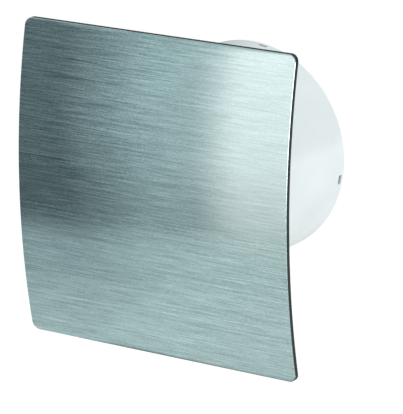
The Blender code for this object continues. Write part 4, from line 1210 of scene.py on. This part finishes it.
def make_floor():
    """A wide pale floor below the object, which lets a view from below through."""
    level = cad_box[0].z - FLOOR_DROP
    size = 12.0
    bm = bmesh.new()
    flat_face(bm, (-size, -size), (size, size), lambda x, y: (x, y, level))
    bmesh.ops.recalc_face_normals(bm, faces=bm.faces)
    floor = link_mesh(bm, "floor")
    made = Finish("floor", 0.9)
    made.colours(made.noise(0.8, 2.0), (0.3, (0.965, 0.965, 0.965)), (0.7, (0.98, 0.98, 0.98)))
    clear = add_node(made.tree, "BsdfTransparent")
    below = add_node(made.tree, "NewGeometry").outputs["Backfacing"]
    mix = add_node(made.tree, "MixShader", {0: below, 1: made.shader.outputs[0], 2: clear.outputs[0]})
    made.tree.links.new(mix.outputs[0], made.tree.nodes["Material Output"].inputs["Surface"])
    floor.data.materials.append(made.material)


def make_world():
    world = bpy.data.worlds.new("studio")
    world.use_nodes = True
    background = world.node_tree.nodes["Background"]
    background.inputs["Color"].default_value = (0.99, 0.995, 1.0, 1.0)
    background.inputs["Strength"].default_value = 1.03
    bpy.context.scene.world = world


def make_key_light():
    """A square softbox in front, on the right, aimed at the duct's mouth."""
    light = bpy.data.lights.new("key", "AREA")
    light.shape = "RECTANGLE"
    light.size = light.size_y = 1.6
    light.energy = 9
    lamp = link_object("key", light)
    lamp.visible_camera = False
    place = Vector((1.6, -1.2, 1.1))
    lamp.location = place
    lamp.rotation_euler = (-place).to_track_quat("-Z", "Y").to_euler()


def glowing(name, bm, glow=(1.0, 1.0, 1.0)):
    """Something that only shiny surfaces see, and its glow's node."""
    card = link_mesh(bm, name)
    material = bpy.data.materials.new(name)
    material.use_nodes = True
    tree = material.node_tree
    tree.nodes.clear()
    emission = add_node(tree, "Emission", {"Color": (*glow, 1.0)})
    add_node(tree, "OutputMaterial", {"Surface": emission.outputs[0]})
    card.data.materials.append(material)
    for rays in ("camera", "diffuse", "shadow", "transmission"):
        setattr(card, "visible_" + rays, False)
    return tree, emission


def reflection_card(name, low, high, distance, across, upwards):
    """An upright card, with ramps of colour from left to right and of grey upwards."""
    heading = CAMERA_AZIMUTH
    facing = Vector((-sin(heading), -cos(heading), 0))
    along = Vector((cos(heading), -sin(heading), 0))
    bm = bmesh.new()
    face = flat_face(bm, low, high, lambda u, v: facing * distance + along * u + Vector((0, 0, v)))
    layer = bm.loops.layers.uv.new("card")
    for loop, uv in zip(face.loops, ((0, 0), (1, 0), (1, 1), (0, 1))):
        loop[layer].uv = uv
    tree, emission = glowing(name, bm)
    axes = add_node(tree, "SeparateXYZ", {0: add_node(tree, "UVMap", uv_map="card").outputs[0]}).outputs
    tree.links.new(ramp(tree, axes[0], across, "LINEAR"), emission.inputs["Color"])
    tree.links.new(ramp(tree, axes[1], upwards, "EASE"), emission.inputs["Strength"])


def reflected_wall(name, start, end, low, high, glow):
    """Part of a round wall that shiny edges reflect. Its angles go from the room towards +X and on behind."""
    radius, count = 1.3, 24
    bm = bmesh.new()
    columns = []
    for k in range(count + 1):
        angle = radians(start + (end - start) * k / count)
        spot = Vector((sin(angle), -cos(angle), 0)) * radius
        columns.append([bm.verts.new(spot + Vector((0, 0, z))) for z in (low, high)])
    for here, there in zip(columns, columns[1:]):
        bm.faces.new([here[0], there[0], there[1], here[1]])
    glowing(name, bm, glow)


def floor_card(name, low, high, glow):
    """Stands in for part of the floor in reflections, so that lower edges read darker against the white."""
    level = cad_box[0].z - FLOOR_DROP + 0.004
    bm = bmesh.new()
    flat_face(bm, low, high, lambda x, y: (x, y, level))
    glowing(name, bm, glow)


def make_lights():
    make_key_light()
    across = (
        (0.390, (0.27, 0.31, 0.33)),
        (0.440, (0.51, 0.57, 0.60)),
        (0.469, (0.64, 0.71, 0.74)),
        (0.497, (0.82, 0.91, 0.94)),
        (0.551, (0.96, 1.04, 1.06)),
        (0.583, (0.99, 1.04, 1.06)),
        (0.612, (1.54, 1.46, 1.47)),
        (0.640, (2.22, 2.00, 2.00)),
    )
    upwards = ((0.0, (0.58,) * 3), (0.25, (0.9,) * 3), (0.7, (1.08,) * 3))
    half_width, foot, split, top = 0.45, -0.2975, -0.193, 0.55
    reflection_card("card_front_left", (-half_width, split), (half_width, top), 0.45, across, upwards)
    across = ((0.40, (0.69, 0.75, 0.78)), (0.47, (0.91, 0.98, 0.99)), (0.61, (1.06, 1.11, 1.12)))
    upwards = ((0.0, (0.90,) * 3), (1.0, (1.0,) * 3))
    reflection_card("card_low", (-half_width, foot), (half_width, split), 0.46, across, upwards)
    reflected_wall("wall_dark", 108, 165, -0.1, 0.62, (0.02, 0.045, 0.05))
    reflected_wall("wall_grey", 165, 230, -0.1, 0.95, (0.25, 0.30, 0.30))
    reflected_wall("strip", 58, 108, -0.29, 0.34, (9.0, 9.0, 9.0))
    floor_card("card_behind", (-0.7, 0.05), (1.3, 1.6), (0.72, 0.76, 0.76))
    floor_card("card_under", (-0.19, -0.14), (0.2, 0.05), (0.16, 0.19, 0.19))
    floor_card("card_left", (-1.0, -0.6), (-0.25, -0.14), (0.87, 0.90, 0.91))
    floor_card("card_middle", (-0.25, -0.6), (-0.12, -0.14), (1.05, 1.09, 1.10))


def make_camera():
    azimuth, level = CAMERA_AZIMUTH, cos(CAMERA_ELEVATION)
    back = Vector((sin(azimuth) * level, -cos(azimuth) * level, sin(CAMERA_ELEVATION)))
    right = Vector((cos(azimuth), sin(azimuth), 0))
    up = back.cross(right)
    low, _, middle = box("panel_face")
    apex = Vector((middle.x, low.y, middle.z))
    place = apex + back * CAMERA_DISTANCE + right * CAMERA_RIGHT + up * CAMERA_UP
    cosine, sine = cos(CAMERA_ROLL), sin(CAMERA_ROLL)
    axes = (right * cosine + up * sine, up * cosine - right * sine, back)
    data = bpy.data.cameras.new("camera")
    data.sensor_width = 36.0
    data.lens = CAMERA_LENS
    camera = link_object("camera", data)
    camera.matrix_world = Matrix.Translation(place) @ Matrix(axes).transposed().to_4x4()
    bpy.context.scene.camera = camera


make_panel_skin()
make_panel_backing()
make_studs()
make_screws()
make_nuts()
make_spigot()
make_base()
make_grille()
make_bracket()
make_mounts()
make_motor()
make_terminal_block()
make_grommet()
make_strap()
make_lead("brown_lead", "motor_lead_live", 1)
make_lead("blue_lead", "motor_lead_neutral", -1)
make_shaft()
make_rotor()
make_washers()
make_impeller()
make_floor()
make_world()
make_lights()
make_camera()
bpy.context.scene.view_settings.view_transform = "Standard"
